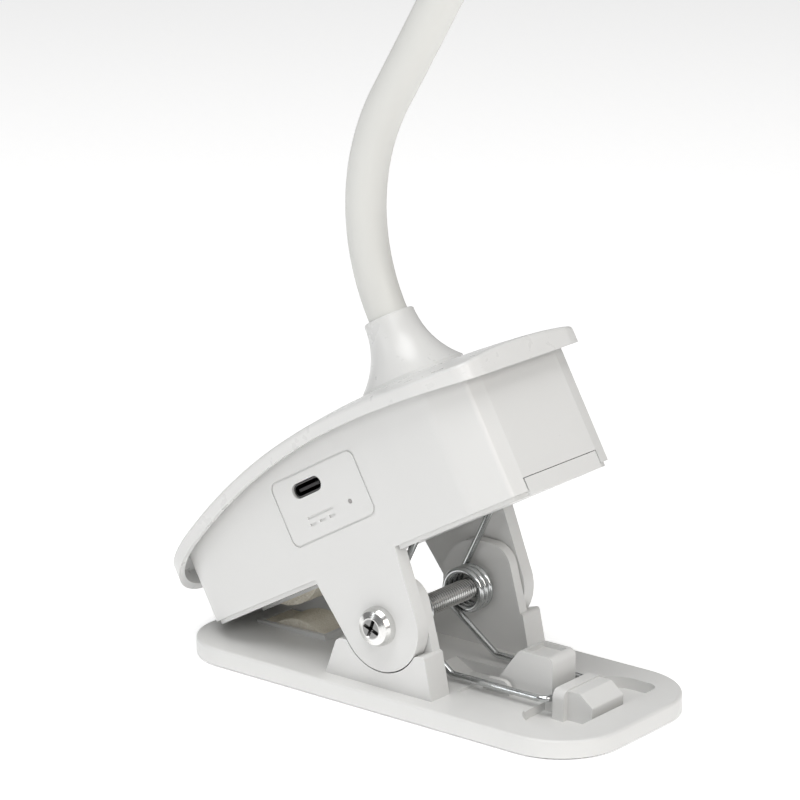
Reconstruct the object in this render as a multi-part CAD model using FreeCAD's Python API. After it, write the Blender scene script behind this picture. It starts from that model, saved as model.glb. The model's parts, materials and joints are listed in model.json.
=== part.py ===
"""Clip-on reading lamp, millimetres, +Z up.

Origin: centre of the base's underside. +X runs along the base towards the squeeze tails, -X towards
the jaw tips, Y is the pivot screw's direction. The base is the lower jaw. The upper jaw carries the
battery housing, and a gooseneck on it carries the lamp head. The jaw is shown closed.
"""
import FreeCAD, Part
import math
import os

from FreeCAD import Placement, Rotation, Vector

# ---------------------------------------------------------------- driving dimensions: base
BASE_LENGTH = 117.0
BASE_WIDTH = 52.0
BASE_TAIL_CORNER = 16.0
BASE_TIP_CORNER = 14.0
PLATE_TOP = 4.5
SOLE_PROUD = 0.4            # how far the rubber sole stands below the plastic
SOLE_THICK = 0.8
SOLE_INSET = 0.7
PLATE_EDGE_ROUND = 0.7
RECESS_FLOOR = 1.8

PIVOT_X = 1.06
PIVOT_Z = 19.36
JAW_PITCH = 29.5            # slope of the closed upper jaw, degrees

# ---------------------------------------------------------------- driving dimensions: clearances
FIT = 0.15                  # between pieces fixed to one another
PIVOT_GAP = 0.3             # between the two jaws beside the pivot
RUNNING = 0.05              # radial clearance of what turns on a shaft or ball

# ---------------------------------------------------------------- driving dimensions: pivot
SCREW_RADIUS = 2.5          # M5
THREAD_PITCH = 0.8
THREAD_DEPTH = 0.4
HEAD_RADIUS = 4.6
HEAD_HEIGHT = 3.3
NUT_FLATS = 8.0
NUT_HEIGHT = 4.0
NUT_POCKET = 2.4
BODY_HALF_WIDTH = 21.75     # outer faces of the upper jaw's sides
UPPER_EAR = 3.7             # thickness of the upper jaw's ears
LOWER_EAR = 2.7             # thickness of the base's ears
EAR_RADIUS = 10.9
EAR_TOP_HALF_WIDTH = 13.4
EAR_TOP = 16.0
LOWER_EAR_RADIUS = 10.6
LOWER_EAR_SHOULDER_X = 8.8  # where the ear's leaning rear edge would meet its top
LOWER_EAR_SHOULDER_ROUND = 6.0

# ---------------------------------------------------------------- driving dimensions: spring
WIRE = 1.6
COIL_RADIUS = 4.8
COIL_PITCH = 1.72
KNUCKLE_PROUD = 0.03        # of the ball that joins a coil to its leg, over the wire
COIL_TURNS = 3
LEG_Y = 8.3                 # the lower legs' distance from the middle plane
LEG_Z = 6.15
LEG_BEND_X = 11.3
WIRE_BEND = 2.4             # centre-line radius of the bends
CROSSBAR_X = 37.7           # centre of the bar that joins the lower legs
SPRING_GAP = 0.4            # between the crossbar and the walls that trap it
BELLY_ENTRY_U = 12.1        # where the upper legs enter the belly cover
UPPER_LEG_INSIDE = 4.0      # how far they run on inside it

# ---------------------------------------------------------------- driving dimensions: upper jaw
JAW_TIP_U = -56.5
JAW_TIP_CORNER = 15.0
JAW_TAIL_U = 48.5
TAPER_START_U = 38.0
TAPER_END_U = 47.4
TAPER_END_HALF = 18.0
END_HALF = 13.5
TAPER_START_ROUND = 7.0
TAPER_END_ROUND = 1.6
TAIL_ROUND = 1.2
SMALLEST_ROUND = 0.3
PARTING_W = 15.0            # height of the side walls' lower edge at the pivot
PARTING_SLOPE = -0.0095
WALL = 1.8
BELLY_THICK = 1.0
BELLY_INSET = 0.9
BELLY_LIP = 2.0             # locating lip inside the walls
TAIL_LIP_TOP = 17.5

RIM_APEX_U = 12.0           # highest point of the lid's lower edge
RIM_APEX_W = 44.3
RIM_FRONT_RADIUS = 145.0
RIM_REAR_RADIUS = 280.0
RIM_HEIGHT = 3.0
LID_CROWN = 2.2             # rise of the lid from its sides to its middle
LID_WALL = 1.6
LID_OVERHANG = 3.5
LID_TIP_OVERHANG = 4.7
LID_EDGE_ROUND = 0.9

# ---------------------------------------------------------------- driving dimensions: controls
PORT_U, PORT_W = -4.6, 35.1
PORT_LENGTH, PORT_HEIGHT = 9.4, 3.5
SHELL_LENGTH, SHELL_HEIGHT, SHELL_DEPTH = 8.94, 3.16, 7.3
PANEL_U = (-15.0, 12.3)
PANEL_W = (23.4, 39.0)
PANEL_CORNER = 2.0
ENGRAVING = 0.45            # width of the engraved lines
ENGRAVING_DEPTH = 0.3
SIGN_U, SIGN_W = -3.7, 27.7 # middle of the direct-current sign
SIGN_HALF = 4.2
SIGN_DASH = 2.0             # length of each of its three dashes
SIGN_SPREAD = 0.8           # of the bar and the dashes from its middle
SIGN_LINE = 0.6
STATUS_U, STATUS_W = 6.2, 28.2
STATUS_RADIUS = 0.5
TOUCH_U = -14.0
TOUCH_RADIUS = 6.5

# ---------------------------------------------------------------- driving dimensions: electrics
BOARD_U = (-22.0, 14.0)
BOARD_Y = (-19.4, -2.6)
BOARD_THICK = 1.2
CELL_RADIUS = 9.2           # 18650 cell
CELL_LENGTH = 65.0
CELL_Y = 9.6
CELL_W = 26.2
CELL_START_U = -34.0

# ---------------------------------------------------------------- driving dimensions: neck and gooseneck
NECK_U = 19.0
NECK_TOP_W = 63.9
NECK_TOP_RADIUS = 6.05
NECK_TOP_ROUND = 0.3
NECK_FLARE = 19.0           # radius of the concave flare
NECK_SOCKET = 12.6          # depth of the sleeve's socket in the neck
SLEEVE_RADIUS = 4.7
SLEEVE_BORE = 3.25
CORE_RADIUS = 2.4
BALL_RADIUS = 2.6
CUP_WALL = 0.45
STEM_RADIUS = 1.3
JOINT_GAP = 1.05            # sleeve's distance from each joint's centre
CUP_MOUTH = 54.0            # half-angle of the cup's mouth, degrees
FERRULE_HOLE = 3.2
# Each stretch of the gooseneck: length, radius (0 is straight) and number of links in it.
# A positive radius turns the way from vertical towards +X.
STRETCHES = ((52.8, 50.0, 2), (45.0, 0.0, 2), (143.0, -65.0, 5))

# ---------------------------------------------------------------- driving dimensions: lamp head
HEAD_LENGTH = 112.0
HEAD_WIDTH = 38.0
HEAD_THICK = 9.0            # back shell alone
HEAD_CORNER = 17.0
HEAD_WALL = 1.6
HEAD_BACK_ROUND = 3.5
HEAD_START = 9.0            # from the last joint to the shell
COLLAR_RADIUS = 5.4
BEZEL_THICK = 1.3
BEZEL_WIDTH = 3.2
DIFFUSER_THICK = 1.4
LED_COUNT = 9
LED_ROWS = 2
LED_SIZE = (3.5, 2.8, 0.8)

UP = Vector(0, 0, 1)
ACROSS = Vector(0, 1, 0)
JAW = Placement(Vector(PIVOT_X, 0, PIVOT_Z), Rotation(Vector(0, -1, 0), JAW_PITCH))
PLATE_BOTTOM = SOLE_PROUD
UPPER_EAR_IN = BODY_HALF_WIDTH - UPPER_EAR
LOWER_EAR_OUT = UPPER_EAR_IN - PIVOT_GAP
LOWER_EAR_IN = LOWER_EAR_OUT - LOWER_EAR
PIVOT_BORE = SCREW_RADIUS + RUNNING


# ================================================================ helpers
def box(x, y, z):
    """Block between three (low, high) pairs."""
    return Part.makeBox(x[1] - x[0], y[1] - y[0], z[1] - z[0], Vector(x[0], y[0], z[0]))


def rod(radius, start, end):
    """Round bar between two points."""
    way = end - start
    return Part.makeCylinder(radius, way.Length, start, way)


def fuse(shapes):
    """One shape from several, with their common faces merged."""
    shapes = list(shapes)
    return shapes[0].multiFuse(shapes[1:]).removeSplitter() if len(shapes) > 1 else shapes[0]


def mirrored(shape):
    """The shape's mirror image across the middle plane, Y = 0."""
    return shape.mirror(Vector(0, 0, 0), ACROSS)


def both_sides(shape):
    return [shape, mirrored(shape)]


def rounded_loop(corners):
    """Closed wire through (point, radius) corners, each rounded by its own radius."""
    ends = []
    for index, (point, radius) in enumerate(corners):
        if radius == 0:
            ends.append((point, point, point))
            continue
        back = (corners[index - 1][0] - point).normalize()
        ahead = (corners[(index + 1) % len(corners)][0] - point).normalize()
        half = back.getAngle(ahead) / 2
        reach = radius / math.tan(half)
        inward = (back + ahead).normalize() * (radius / math.sin(half) - radius)
        ends.append((point + back * reach, point + inward, point + ahead * reach))
    edges = []
    for index, (start, middle, end) in enumerate(ends):
        if (end - start).Length > 1e-6:
            edges.append(Part.Arc(start, middle, end).toShape())
        following = ends[(index + 1) % len(ends)][0]
        if (following - end).Length > 1e-6:
            edges.append(Part.makeLine(end, following))
    return Part.Wire(edges)


def plan_prism(corners, low, high):
    """Upright prism over (x, y, radius) corners."""
    loop = rounded_loop([(Vector(x, y, low), r) for x, y, r in corners])
    return Part.Face(loop).extrude(Vector(0, 0, high - low))


def side_prism(corners, near, far):
    """Prism along Y over (x, z, radius) corners."""
    loop = rounded_loop([(Vector(x, near, z), r) for x, z, r in corners])
    return Part.Face(loop).extrude(Vector(0, far - near, 0))


def end_prism(corners, low, high):
    """Prism along X over (y, z, radius) corners."""
    loop = rounded_loop([(Vector(low, y, z), r) for y, z, r in corners])
    return Part.Face(loop).extrude(Vector(high - low, 0, 0))


def lathe(points, start, direction):
    """Solid of revolution: (radius, height) points round the axis through start."""
    loop = Part.makePolygon([Vector(r, 0, h) for r, h in points + points[:1]])
    solid = Part.Face(loop).revolve(Vector(0, 0, 0), UP, 360)
    solid.Placement = Placement(start, Rotation(UP, direction))
    return solid


def hexagon(flats, start, height):
    """Hexagonal bar along +Y, for nuts and their pockets."""
    radius = flats / math.sqrt(3)
    ring = [start + Vector(radius * math.cos(math.radians(a)), 0, radius * math.sin(math.radians(a)))
            for a in range(0, 361, 60)]
    return Part.Face(Part.makePolygon(ring)).extrude(Vector(0, height, 0))


def edges_at(shape, test):
    """Edges whose two ends and middle all pass the test."""
    def passes(edge):
        middle = edge.valueAt((edge.FirstParameter + edge.LastParameter) / 2)
        return all(test(p) for p in [v.Point for v in edge.Vertexes] + [middle])
    return [edge for edge in shape.Edges if passes(edge)]


def save(name, shape, place=None):
    """Write one node as parts/NAME.step, moved by place."""
    shape = shape.copy()
    if place is not None:
        shape.Placement = place.multiply(shape.Placement)
    solids = shape.Solids
    print("%-24s %d solid(s) %10.1f mm3 valid %s" % (name, len(solids), shape.Volume, shape.isValid()))
    result = solids[0] if len(solids) == 1 else Part.makeCompound(solids)
    result.exportStep("parts/%s.step" % name)


# ================================================================ base, the lower jaw
def base_outline(inset):
    """Corners of the base's plan, drawn in by inset."""
    half_length, half_width = BASE_LENGTH / 2 - inset, BASE_WIDTH / 2 - inset
    tip, tail = BASE_TIP_CORNER - inset, BASE_TAIL_CORNER - inset
    return [(-half_length, -half_width, tip), (half_length, -half_width, tail),
            (half_length, half_width, tail), (-half_length, half_width, tip)]


def ear_profile(grow, near, far):
    """Prism of the upper jaw's ear, in the jaw's frame: flared sides running into a round end."""
    radius, half = EAR_RADIUS + grow, EAR_TOP_HALF_WIDTH + grow
    touch = math.atan2(EAR_TOP, half) - math.acos(radius / math.hypot(half, EAR_TOP))
    right = Vector(radius * math.cos(touch), near, radius * math.sin(touch))
    left = Vector(-right.x, near, right.z)
    top_right, top_left = Vector(half, near, EAR_TOP), Vector(-half, near, EAR_TOP)
    loop = Part.Wire([Part.makeLine(top_right, right),
                      Part.Arc(right, Vector(0, near, -radius), left).toShape(),
                      Part.makeLine(left, top_left), Part.makeLine(top_left, top_right)])
    return Part.Face(loop).extrude(Vector(0, far - near, 0))


SADDLE_FOOT_X = (-15.3, 16.0)   # of the saddle, at the plate
SADDLE_FRONT = (-11.8, 13.0)
SADDLE_FRONT_TOP = (-10.7, 13.7)
SADDLE_REAR_TOP = (13.6, 14.8)
SADDLE_REAR_INNER = (9.9, 13.7)

CHANNEL_HALF = 12.8
CHANNEL_START = 16.0
CHANNEL_DEPTH = 0.7
RECESS_X = (34.5, 50.0)
RECESS_HALF = 18.5
RECESS_CORNER = 8.5
POCKET_X = (2.0, 27.0)
POCKET_HALF = 5.2
POCKET_FLOOR = 2.0
POCKET_RAMP = 5.0
SLOT_X = (29.7, 33.3)
SLOT_Y = (10.0, 14.0)

POST_HALF = 4.4
POST_TOP = 14.5
POST_FOOT_X = 19.8
POST_TOP_X = 27.3
POST_ROUND = 1.6
POST_WALL = 1.2
POST_DISH = 1.0
HOOK_WALL = 3.0
HOOK_WALL_HALF = 7.6
HOOK_WALL_TOP = 8.9
HOOK_WALL_ROUND = 2.0
HOOK_HALF = 6.0
HOOK_TOP = 8.6
HOOK_SLANT_X = 45.2
HOOK_END_X = 48.6
HOOK_END_TOP = 6.0
TAB_X = (18.6, 26.0)
TAB_TOP = 7.0
TAB_THICK = 1.2
TAB_ROUND = 2.0

PAD_X = (-49.0, -28.0)
PAD_HALF = 6.2
PAD_FRAME = 1.0             # width of the plastic border round a jaw pad
PAD_FRAME_FRONT = 0.7
PAD_FRAME_REAR = 1.4
PAD_BULGE = 1.9
PAD_FLAT = 3.6              # flat margin of the pad before its bulge


def crossbar_walls():
    """Rear face of the post and front face of the hook wall, either side of the spring's crossbar."""
    return CROSSBAR_X - WIRE / 2 - SPRING_GAP, CROSSBAR_X + WIRE / 2 + SPRING_GAP


def saddle(side_low, side_high):
    """Raised shoulder that the upper jaw's ear turns in."""
    sink = PLATE_TOP - 1
    corners = [(SADDLE_FOOT_X[0], sink, 0), SADDLE_FRONT + (0.4,), SADDLE_FRONT_TOP + (0,),
               SADDLE_REAR_INNER + (0,), SADDLE_REAR_TOP + (0.8,), (SADDLE_FOOT_X[1], sink, 0)]
    block = side_prism(corners, side_low, side_high)
    ear = ear_profile(PIVOT_GAP, LOWER_EAR_OUT, side_high + 1)
    ear.Placement = JAW
    return block.cut(ear)


def lower_ear():
    """Ear inside the upper jaw's ear: round in front, with a rear edge that leans to the saddle's foot."""
    foot, top = PLATE_TOP - 1, PIVOT_Z + LOWER_EAR_RADIUS
    front = PIVOT_X - LOWER_EAR_RADIUS
    return side_prism([(front, foot, 0), (SADDLE_FOOT_X[1], foot, 0),
                       (LOWER_EAR_SHOULDER_X, top, LOWER_EAR_SHOULDER_ROUND),
                       (front, top, LOWER_EAR_RADIUS)], LOWER_EAR_IN, LOWER_EAR_OUT)


def spring_post():
    """Hollow-topped post that the spring's legs straddle."""
    rear_x = crossbar_walls()[0]
    corners = [(POST_FOOT_X, POCKET_FLOOR - 0.5, 0), (POST_FOOT_X, PLATE_TOP, 0),
               (POST_TOP_X, POST_TOP, POST_ROUND), (rear_x, POST_TOP, POST_ROUND),
               (rear_x, POCKET_FLOOR - 0.5, 0)]
    post = side_prism(corners, -POST_HALF, POST_HALF)
    dish_half = POST_HALF - POST_WALL
    dish = box((POST_TOP_X + POST_WALL, rear_x - POST_ROUND), (-dish_half, dish_half),
               (POST_TOP - POST_DISH, POST_TOP + 1))
    return post.cut(dish)


def spring_hook():
    """Wall and block behind the spring's crossbar, with the ledge that carries the bar."""
    post_x, wall_x = crossbar_walls()
    foot = RECESS_FLOOR - 0.5
    wall = end_prism([(-HOOK_WALL_HALF, foot, 0), (HOOK_WALL_HALF, foot, 0),
                      (HOOK_WALL_HALF, HOOK_WALL_TOP, HOOK_WALL_ROUND),
                      (-HOOK_WALL_HALF, HOOK_WALL_TOP, HOOK_WALL_ROUND)], wall_x, wall_x + HOOK_WALL)
    block = side_prism([(wall_x + 1, foot, 0), (wall_x + 1, HOOK_TOP, 0), (HOOK_SLANT_X, HOOK_TOP, 0.6),
                        (HOOK_END_X, HOOK_END_TOP, 0.6), (HOOK_END_X, foot, 0)], -HOOK_HALF, HOOK_HALF)
    ledge = box((post_x - 1, wall_x + 1), (-POST_HALF, POST_HALF), (foot, LEG_Z - WIRE / 2 - FIT))
    return [wall, block, ledge]


def pad_frame():
    """Wedge-shaped border round the lower jaw's pad."""
    wedge = side_prism([(PAD_X[0], PLATE_TOP - 1, 0), (PAD_X[0], PLATE_TOP + PAD_FRAME_FRONT, 0),
                        (PAD_X[1], PLATE_TOP + PAD_FRAME_REAR, 0), (PAD_X[1], PLATE_TOP - 1, 0)],
                       -PAD_HALF, PAD_HALF)
    inside = box((PAD_X[0] + PAD_FRAME, PAD_X[1] - PAD_FRAME), (PAD_FRAME - PAD_HALF, PAD_HALF - PAD_FRAME),
                 (PLATE_TOP, PLATE_TOP + 5))
    return wedge.cut(inside)


def jaw_pad(frame_front, frame_rear, fit):
    """Arched rubber pad that fills a pad frame; its underside is at height 0."""
    front, rear = PAD_X[0] + PAD_FRAME + fit, PAD_X[1] - PAD_FRAME - fit
    middle = (front + rear) / 2
    left, right = Vector(front + PAD_FLAT, 0, frame_front), Vector(rear - PAD_FLAT / 2, 0, frame_rear)
    crest = Vector(middle, 0, (frame_front + frame_rear) / 2 + PAD_BULGE)
    points = [Vector(front, 0, 0), Vector(front, 0, frame_front), left]
    after = [right, Vector(rear, 0, frame_rear), Vector(rear, 0, 0), points[0]]
    edges = [Part.makeLine(a, b) for a, b in zip(points, points[1:])]
    edges.append(Part.Arc(left, crest, right).toShape())
    edges += [Part.makeLine(a, b) for a, b in zip(after, after[1:])]
    half = PAD_HALF - PAD_FRAME - fit
    pad = Part.Face(Part.Wire(edges)).extrude(Vector(0, 2 * half, 0))
    pad.translate(Vector(0, -half, 0))
    return pad


def base_plate():
    """The base with everything moulded on it."""
    plate = plan_prism(base_outline(0), PLATE_BOTTOM, PLATE_TOP)
    plate = plate.makeFillet(PLATE_EDGE_ROUND, edges_at(plate, lambda p: p.z > PLATE_TOP - 0.01))
    recess = plan_prism([(RECESS_X[0], -RECESS_HALF, RECESS_CORNER), (RECESS_X[1], -RECESS_HALF, 3),
                         (RECESS_X[1], RECESS_HALF, 3), (RECESS_X[0], RECESS_HALF, RECESS_CORNER)],
                        RECESS_FLOOR, PLATE_TOP + 1)
    channel = box((CHANNEL_START, RECESS_X[0] + RECESS_CORNER), (-CHANNEL_HALF, CHANNEL_HALF),
                  (PLATE_TOP - CHANNEL_DEPTH, PLATE_TOP + 1))
    pocket = side_prism([(POCKET_X[0], PLATE_TOP + 1, 0), (POCKET_X[0], PLATE_TOP, 0),
                         (POCKET_X[0] + POCKET_RAMP, POCKET_FLOOR, 0), (POCKET_X[1], POCKET_FLOOR, 0),
                         (POCKET_X[1], PLATE_TOP + 1, 0)], -POCKET_HALF, POCKET_HALF)
    sole_seat = plan_prism(base_outline(SOLE_INSET - FIT), PLATE_BOTTOM - 1, SOLE_THICK)
    slot = box(SLOT_X, SLOT_Y, (SOLE_THICK - 1, PLATE_TOP + 1))
    hollowed = plate.cut(recess).cut(channel).cut(pocket).cut(sole_seat).cut(slot)
    tab = side_prism([(TAB_X[0], POCKET_FLOOR, 0), (TAB_X[0], TAB_TOP, TAB_ROUND),
                      (TAB_X[1], TAB_TOP, TAB_ROUND), (TAB_X[1], POCKET_FLOOR, 0)],
                     POCKET_HALF, POCKET_HALF + TAB_THICK)
    one_side = [tab, lower_ear(), saddle(LOWER_EAR_IN, BODY_HALF_WIDTH)]
    other_side = [mirrored(solid) for solid in one_side]
    body = fuse([hollowed, spring_post(), pad_frame()] + spring_hook() + one_side + other_side)
    return body.cut(rod(PIVOT_BORE, Vector(PIVOT_X, -BODY_HALF_WIDTH, PIVOT_Z),
                        Vector(PIVOT_X, BODY_HALF_WIDTH, PIVOT_Z)))


def base_sole():
    """Rubber sheet under the base, set in a shallow seat."""
    return plan_prism(base_outline(SOLE_INSET), 0, SOLE_THICK)


# ================================================================ pivot screw, nut and spring
def pivot_screw():
    """Pan-head cross-recess screw with its thread as ring grooves, and the nut's reach."""
    length = 2 * BODY_HALF_WIDTH + NUT_HEIGHT - NUT_POCKET + 1
    crest, root = SCREW_RADIUS, SCREW_RADIUS - THREAD_DEPTH
    flank, land = THREAD_PITCH * 0.35, THREAD_PITCH * 0.15
    points = [(0, -HEAD_HEIGHT), (HEAD_RADIUS * 0.55, -HEAD_HEIGHT), (HEAD_RADIUS * 0.85, -HEAD_HEIGHT * 0.8),
              (HEAD_RADIUS * 0.97, -HEAD_HEIGHT * 0.5), (HEAD_RADIUS, -HEAD_HEIGHT * 0.2), (HEAD_RADIUS, 0),
              (crest, 0)]
    for turn in range(int(length / THREAD_PITCH) - 1):
        start = (turn + 0.5) * THREAD_PITCH
        points += [(crest, start), (root, start + flank), (root, start + flank + land),
                   (crest, start + 2 * flank + land)]
    points += [(crest, length - 0.5), (crest - 0.5, length), (0, length)]
    start = Vector(PIVOT_X, -BODY_HALF_WIDTH, PIVOT_Z)
    screw = lathe(points, start, ACROSS)
    depth, arm, blade = 2.2, 2.3, 0.45
    face = start + Vector(0, -HEAD_HEIGHT, 0)
    taper = Part.makeCone(arm, 0.6, depth, face, ACROSS)
    cross = [Part.makeBox(2 * a, depth, 2 * b, face - Vector(a, 0, b))
             for a, b in ((arm, blade), (blade, arm))]
    turned = [c.rotate(start, ACROSS, 20) for c in cross]
    return screw.cut(fuse(turned).common(taper))


def pivot_nut():
    """Hexagon nut in a pocket of the far ear, in the jaw's frame."""
    start = Vector(0, BODY_HALF_WIDTH - NUT_POCKET, 0)
    nut = hexagon(NUT_FLATS, start, NUT_HEIGHT)
    return nut.cut(rod(SCREW_RADIUS + FIT / 3, start - ACROSS, start + ACROSS * (NUT_HEIGHT + 1)))


def touch_angle(target, side):
    """Angle on the coil where the straight wire to target leaves it; side is +1 or -1."""
    dx, dz = target[0] - PIVOT_X, target[1] - PIVOT_Z
    return math.atan2(dz, dx) + side * math.acos(COIL_RADIUS / math.hypot(dx, dz))


def bent_wire(points, bend):
    """Round wire along points, with arcs of radius bend at the inner ones."""
    radius = WIRE / 2
    edges, start = [], points[0]
    for before, corner, after in zip(points, points[1:], points[2:]):
        back, ahead = (before - corner).normalize(), (after - corner).normalize()
        half = back.getAngle(ahead) / 2
        reach = bend / math.tan(half)
        inward = (back + ahead).normalize() * (bend / math.sin(half) - bend)
        edges.append(Part.makeLine(start, corner + back * reach))
        edges.append(Part.Arc(corner + back * reach, corner + inward, corner + ahead * reach).toShape())
        start = corner + ahead * reach
    edges.append(Part.makeLine(start, points[-1]))
    way = points[1] - points[0]
    profile = Part.Wire(Part.makeCircle(radius, points[0], way))
    return Part.Wire(edges).makePipeShell([profile], True, True)


def spring_coil(lower, upper):
    """One coil at positive Y, from the lower leg's angle inside to the upper leg's angle outside."""
    sweep = 2 * math.pi * COIL_TURNS + (lower - upper) % (2 * math.pi)
    height = COIL_PITCH * sweep / (2 * math.pi)
    helix = Part.makeHelix(COIL_PITCH, height, COIL_RADIUS)
    tangent = Vector(0, COIL_RADIUS, COIL_PITCH / (2 * math.pi))
    profile = Part.Wire(Part.makeCircle(WIRE / 2, Vector(COIL_RADIUS, 0, 0), tangent))
    coil = Part.Wire(helix).makePipeShell([profile], True, True)
    outward = Vector(math.cos(lower), 0, math.sin(lower))
    onward = Vector(math.sin(lower), 0, -math.cos(lower))
    coil.Placement = Placement(Vector(PIVOT_X, LEG_Y, PIVOT_Z), Rotation(outward, onward, ACROSS, "XYZ"))
    return coil, LEG_Y + height


def on_coil(angle, y):
    return Vector(PIVOT_X + COIL_RADIUS * math.cos(angle), y, PIVOT_Z + COIL_RADIUS * math.sin(angle))


def torsion_spring():
    """Double torsion spring: two coils, a lower crossbar and two upper legs."""
    lower = touch_angle((LEG_BEND_X, LEG_Z), -1)
    entry = JAW.multVec(Vector(BELLY_ENTRY_U, 0, PARTING_W - BELLY_THICK))
    upper = touch_angle((entry.x, entry.z), 1)
    coil, outer_y = spring_coil(lower, upper)
    leg_start, leg_way = on_coil(upper, outer_y), Vector(entry.x, outer_y, entry.z) - on_coil(upper, outer_y)
    leg_end = leg_start + leg_way * (1 + UPPER_LEG_INSIDE / leg_way.Length)
    upper_leg = rod(WIRE / 2, leg_start, leg_end)
    knuckles = [Part.makeSphere(WIRE / 2 + KNUCKLE_PROUD, at) for at in (leg_start, on_coil(lower, LEG_Y))]
    lower_leg = bent_wire([on_coil(lower, LEG_Y), Vector(LEG_BEND_X, LEG_Y, LEG_Z),
                           Vector(CROSSBAR_X, LEG_Y, LEG_Z), Vector(CROSSBAR_X, 0, LEG_Z)], WIRE_BEND)
    one_side = [coil, upper_leg, lower_leg] + knuckles
    return fuse(one_side + [mirrored(s) for s in one_side])


# ================================================================ upper jaw, in its own frame
# Here X is along the jaw (u), Z is its height (w) and the pivot is the origin.
def jaw_outline(inset, tip_extra=0.0):
    """Corners of the upper jaw's plan, drawn in by inset (a negative inset is an overhang)."""
    tip_u, tail_u = JAW_TIP_U + inset - tip_extra, JAW_TAIL_U - inset
    half = BODY_HALF_WIDTH - inset
    taper_u, taper_half, end_half = TAPER_END_U - inset, TAPER_END_HALF - inset * 0.9, END_HALF - inset * 0.7
    side = [(tip_u, half, JAW_TIP_CORNER), (TAPER_START_U, half, TAPER_START_ROUND),
            (taper_u, taper_half, TAPER_END_ROUND), (tail_u, end_half, TAIL_ROUND)]
    side = [(u, y, max(radius - inset, SMALLEST_ROUND)) for u, y, radius in side]
    return [(u, -y, r) for u, y, r in side] + [(u, y, r) for u, y, r in reversed(side)]


def under_curve(rise, crown):
    """Everything under the lid's curve raised by rise, arched across Y by crown."""
    reach, depth = 40.0, 34.0
    side_drop = crown * (reach / (BODY_HALF_WIDTH + LID_OVERHANG)) ** 2
    top, low = RIM_APEX_W + rise, RIM_APEX_W - depth
    corners = [Vector(RIM_APEX_U, -reach, top - side_drop), Vector(RIM_APEX_U, -reach, low),
               Vector(RIM_APEX_U, reach, low), Vector(RIM_APEX_U, reach, top - side_drop)]
    edges = [Part.makeLine(a, b) for a, b in zip(corners, corners[1:])]
    if crown > 0:
        edges.append(Part.Arc(corners[3], Vector(RIM_APEX_U, 0, top), corners[0]).toShape())
    else:
        edges.append(Part.makeLine(corners[3], corners[0]))
    section = Part.Face(Part.Wire(edges))
    front = section.revolve(Vector(RIM_APEX_U, 0, RIM_APEX_W - RIM_FRONT_RADIUS), Vector(0, -1, 0), 35)
    rear = section.revolve(Vector(RIM_APEX_U, 0, RIM_APEX_W - RIM_REAR_RADIUS), ACROSS, 14)
    return front.fuse(rear)


def parting(offset):
    """Height of the side walls' lower edge at the tip and the tail, moved by offset."""
    tip, tail = JAW_TIP_U - 10, JAW_TAIL_U + 10
    return (tip, PARTING_W + PARTING_SLOPE * tip + offset), (tail, PARTING_W + PARTING_SLOPE * tail + offset)


def slab(low_offset, high_offset):
    """Layer between two lines parallel to the parting line."""
    (tip, low_tip), (tail, low_tail) = parting(low_offset)
    (_, high_tip), (_, high_tail) = parting(high_offset)
    corners = [(tip, low_tip, 0), (tail, low_tail, 0), (tail, high_tail, 0), (tip, high_tip, 0)]
    return side_prism(corners, -40, 40)


LID_RISE = RIM_HEIGHT + LID_CROWN
COLUMN_RADIUS = 2.6
COLUMNS = ((-42.0, 13.6), (41.0, 15.0))
COLUMN_PILOT = 1.1
BELLY_SCREW_HEAD = 2.1


def lid_surface(u, y=0.0):
    """Height and slope angle (degrees) of the lid's outer surface."""
    radius = (RIM_FRONT_RADIUS if u < RIM_APEX_U else RIM_REAR_RADIUS) + LID_RISE
    height = RIM_APEX_W + LID_RISE - radius + math.sqrt(radius ** 2 - (u - RIM_APEX_U) ** 2)
    return height - LID_CROWN * (y / (BODY_HALF_WIDTH + LID_OVERHANG)) ** 2, \
        math.degrees(math.asin((u - RIM_APEX_U) / radius))


def on_lid_edge(point):
    """Whether a point is on the lid's top surface, and away from its middle."""
    on_surface = point.z > lid_surface(point.x, point.y)[0] - 0.35
    return on_surface and math.hypot(point.x - RIM_APEX_U, point.y) > BODY_HALF_WIDTH


def top_lid():
    """Crowned lid with its skirt and the gooseneck's flared neck."""
    blank = plan_prism(jaw_outline(-LID_OVERHANG, LID_TIP_OVERHANG - LID_OVERHANG), 5, 60)
    outer = blank.common(under_curve(LID_RISE, LID_CROWN)).cut(under_curve(0, 0))
    outer = outer.removeSplitter()
    outer = outer.makeFillet(LID_EDGE_ROUND, edges_at(outer, on_lid_edge))
    hollow = plan_prism(jaw_outline(LID_WALL - LID_OVERHANG, LID_TIP_OVERHANG - LID_OVERHANG), 5, 60)
    hollow = hollow.common(under_curve(LID_RISE - LID_WALL, LID_CROWN))
    lid = outer.cut(hollow)
    lid = lid.fuse(neck_flare()).removeSplitter()
    socket = rod(SLEEVE_RADIUS + FIT, Vector(NECK_U, 0, NECK_TOP_W - NECK_SOCKET),
                 Vector(NECK_U, 0, NECK_TOP_W + 1))
    hole = rod(FERRULE_HOLE, Vector(NECK_U, 0, RIM_APEX_W), Vector(NECK_U, 0, NECK_TOP_W))
    return lid.cut(socket).cut(hole).cut(touch_cylinder(TOUCH_RADIUS))


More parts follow.
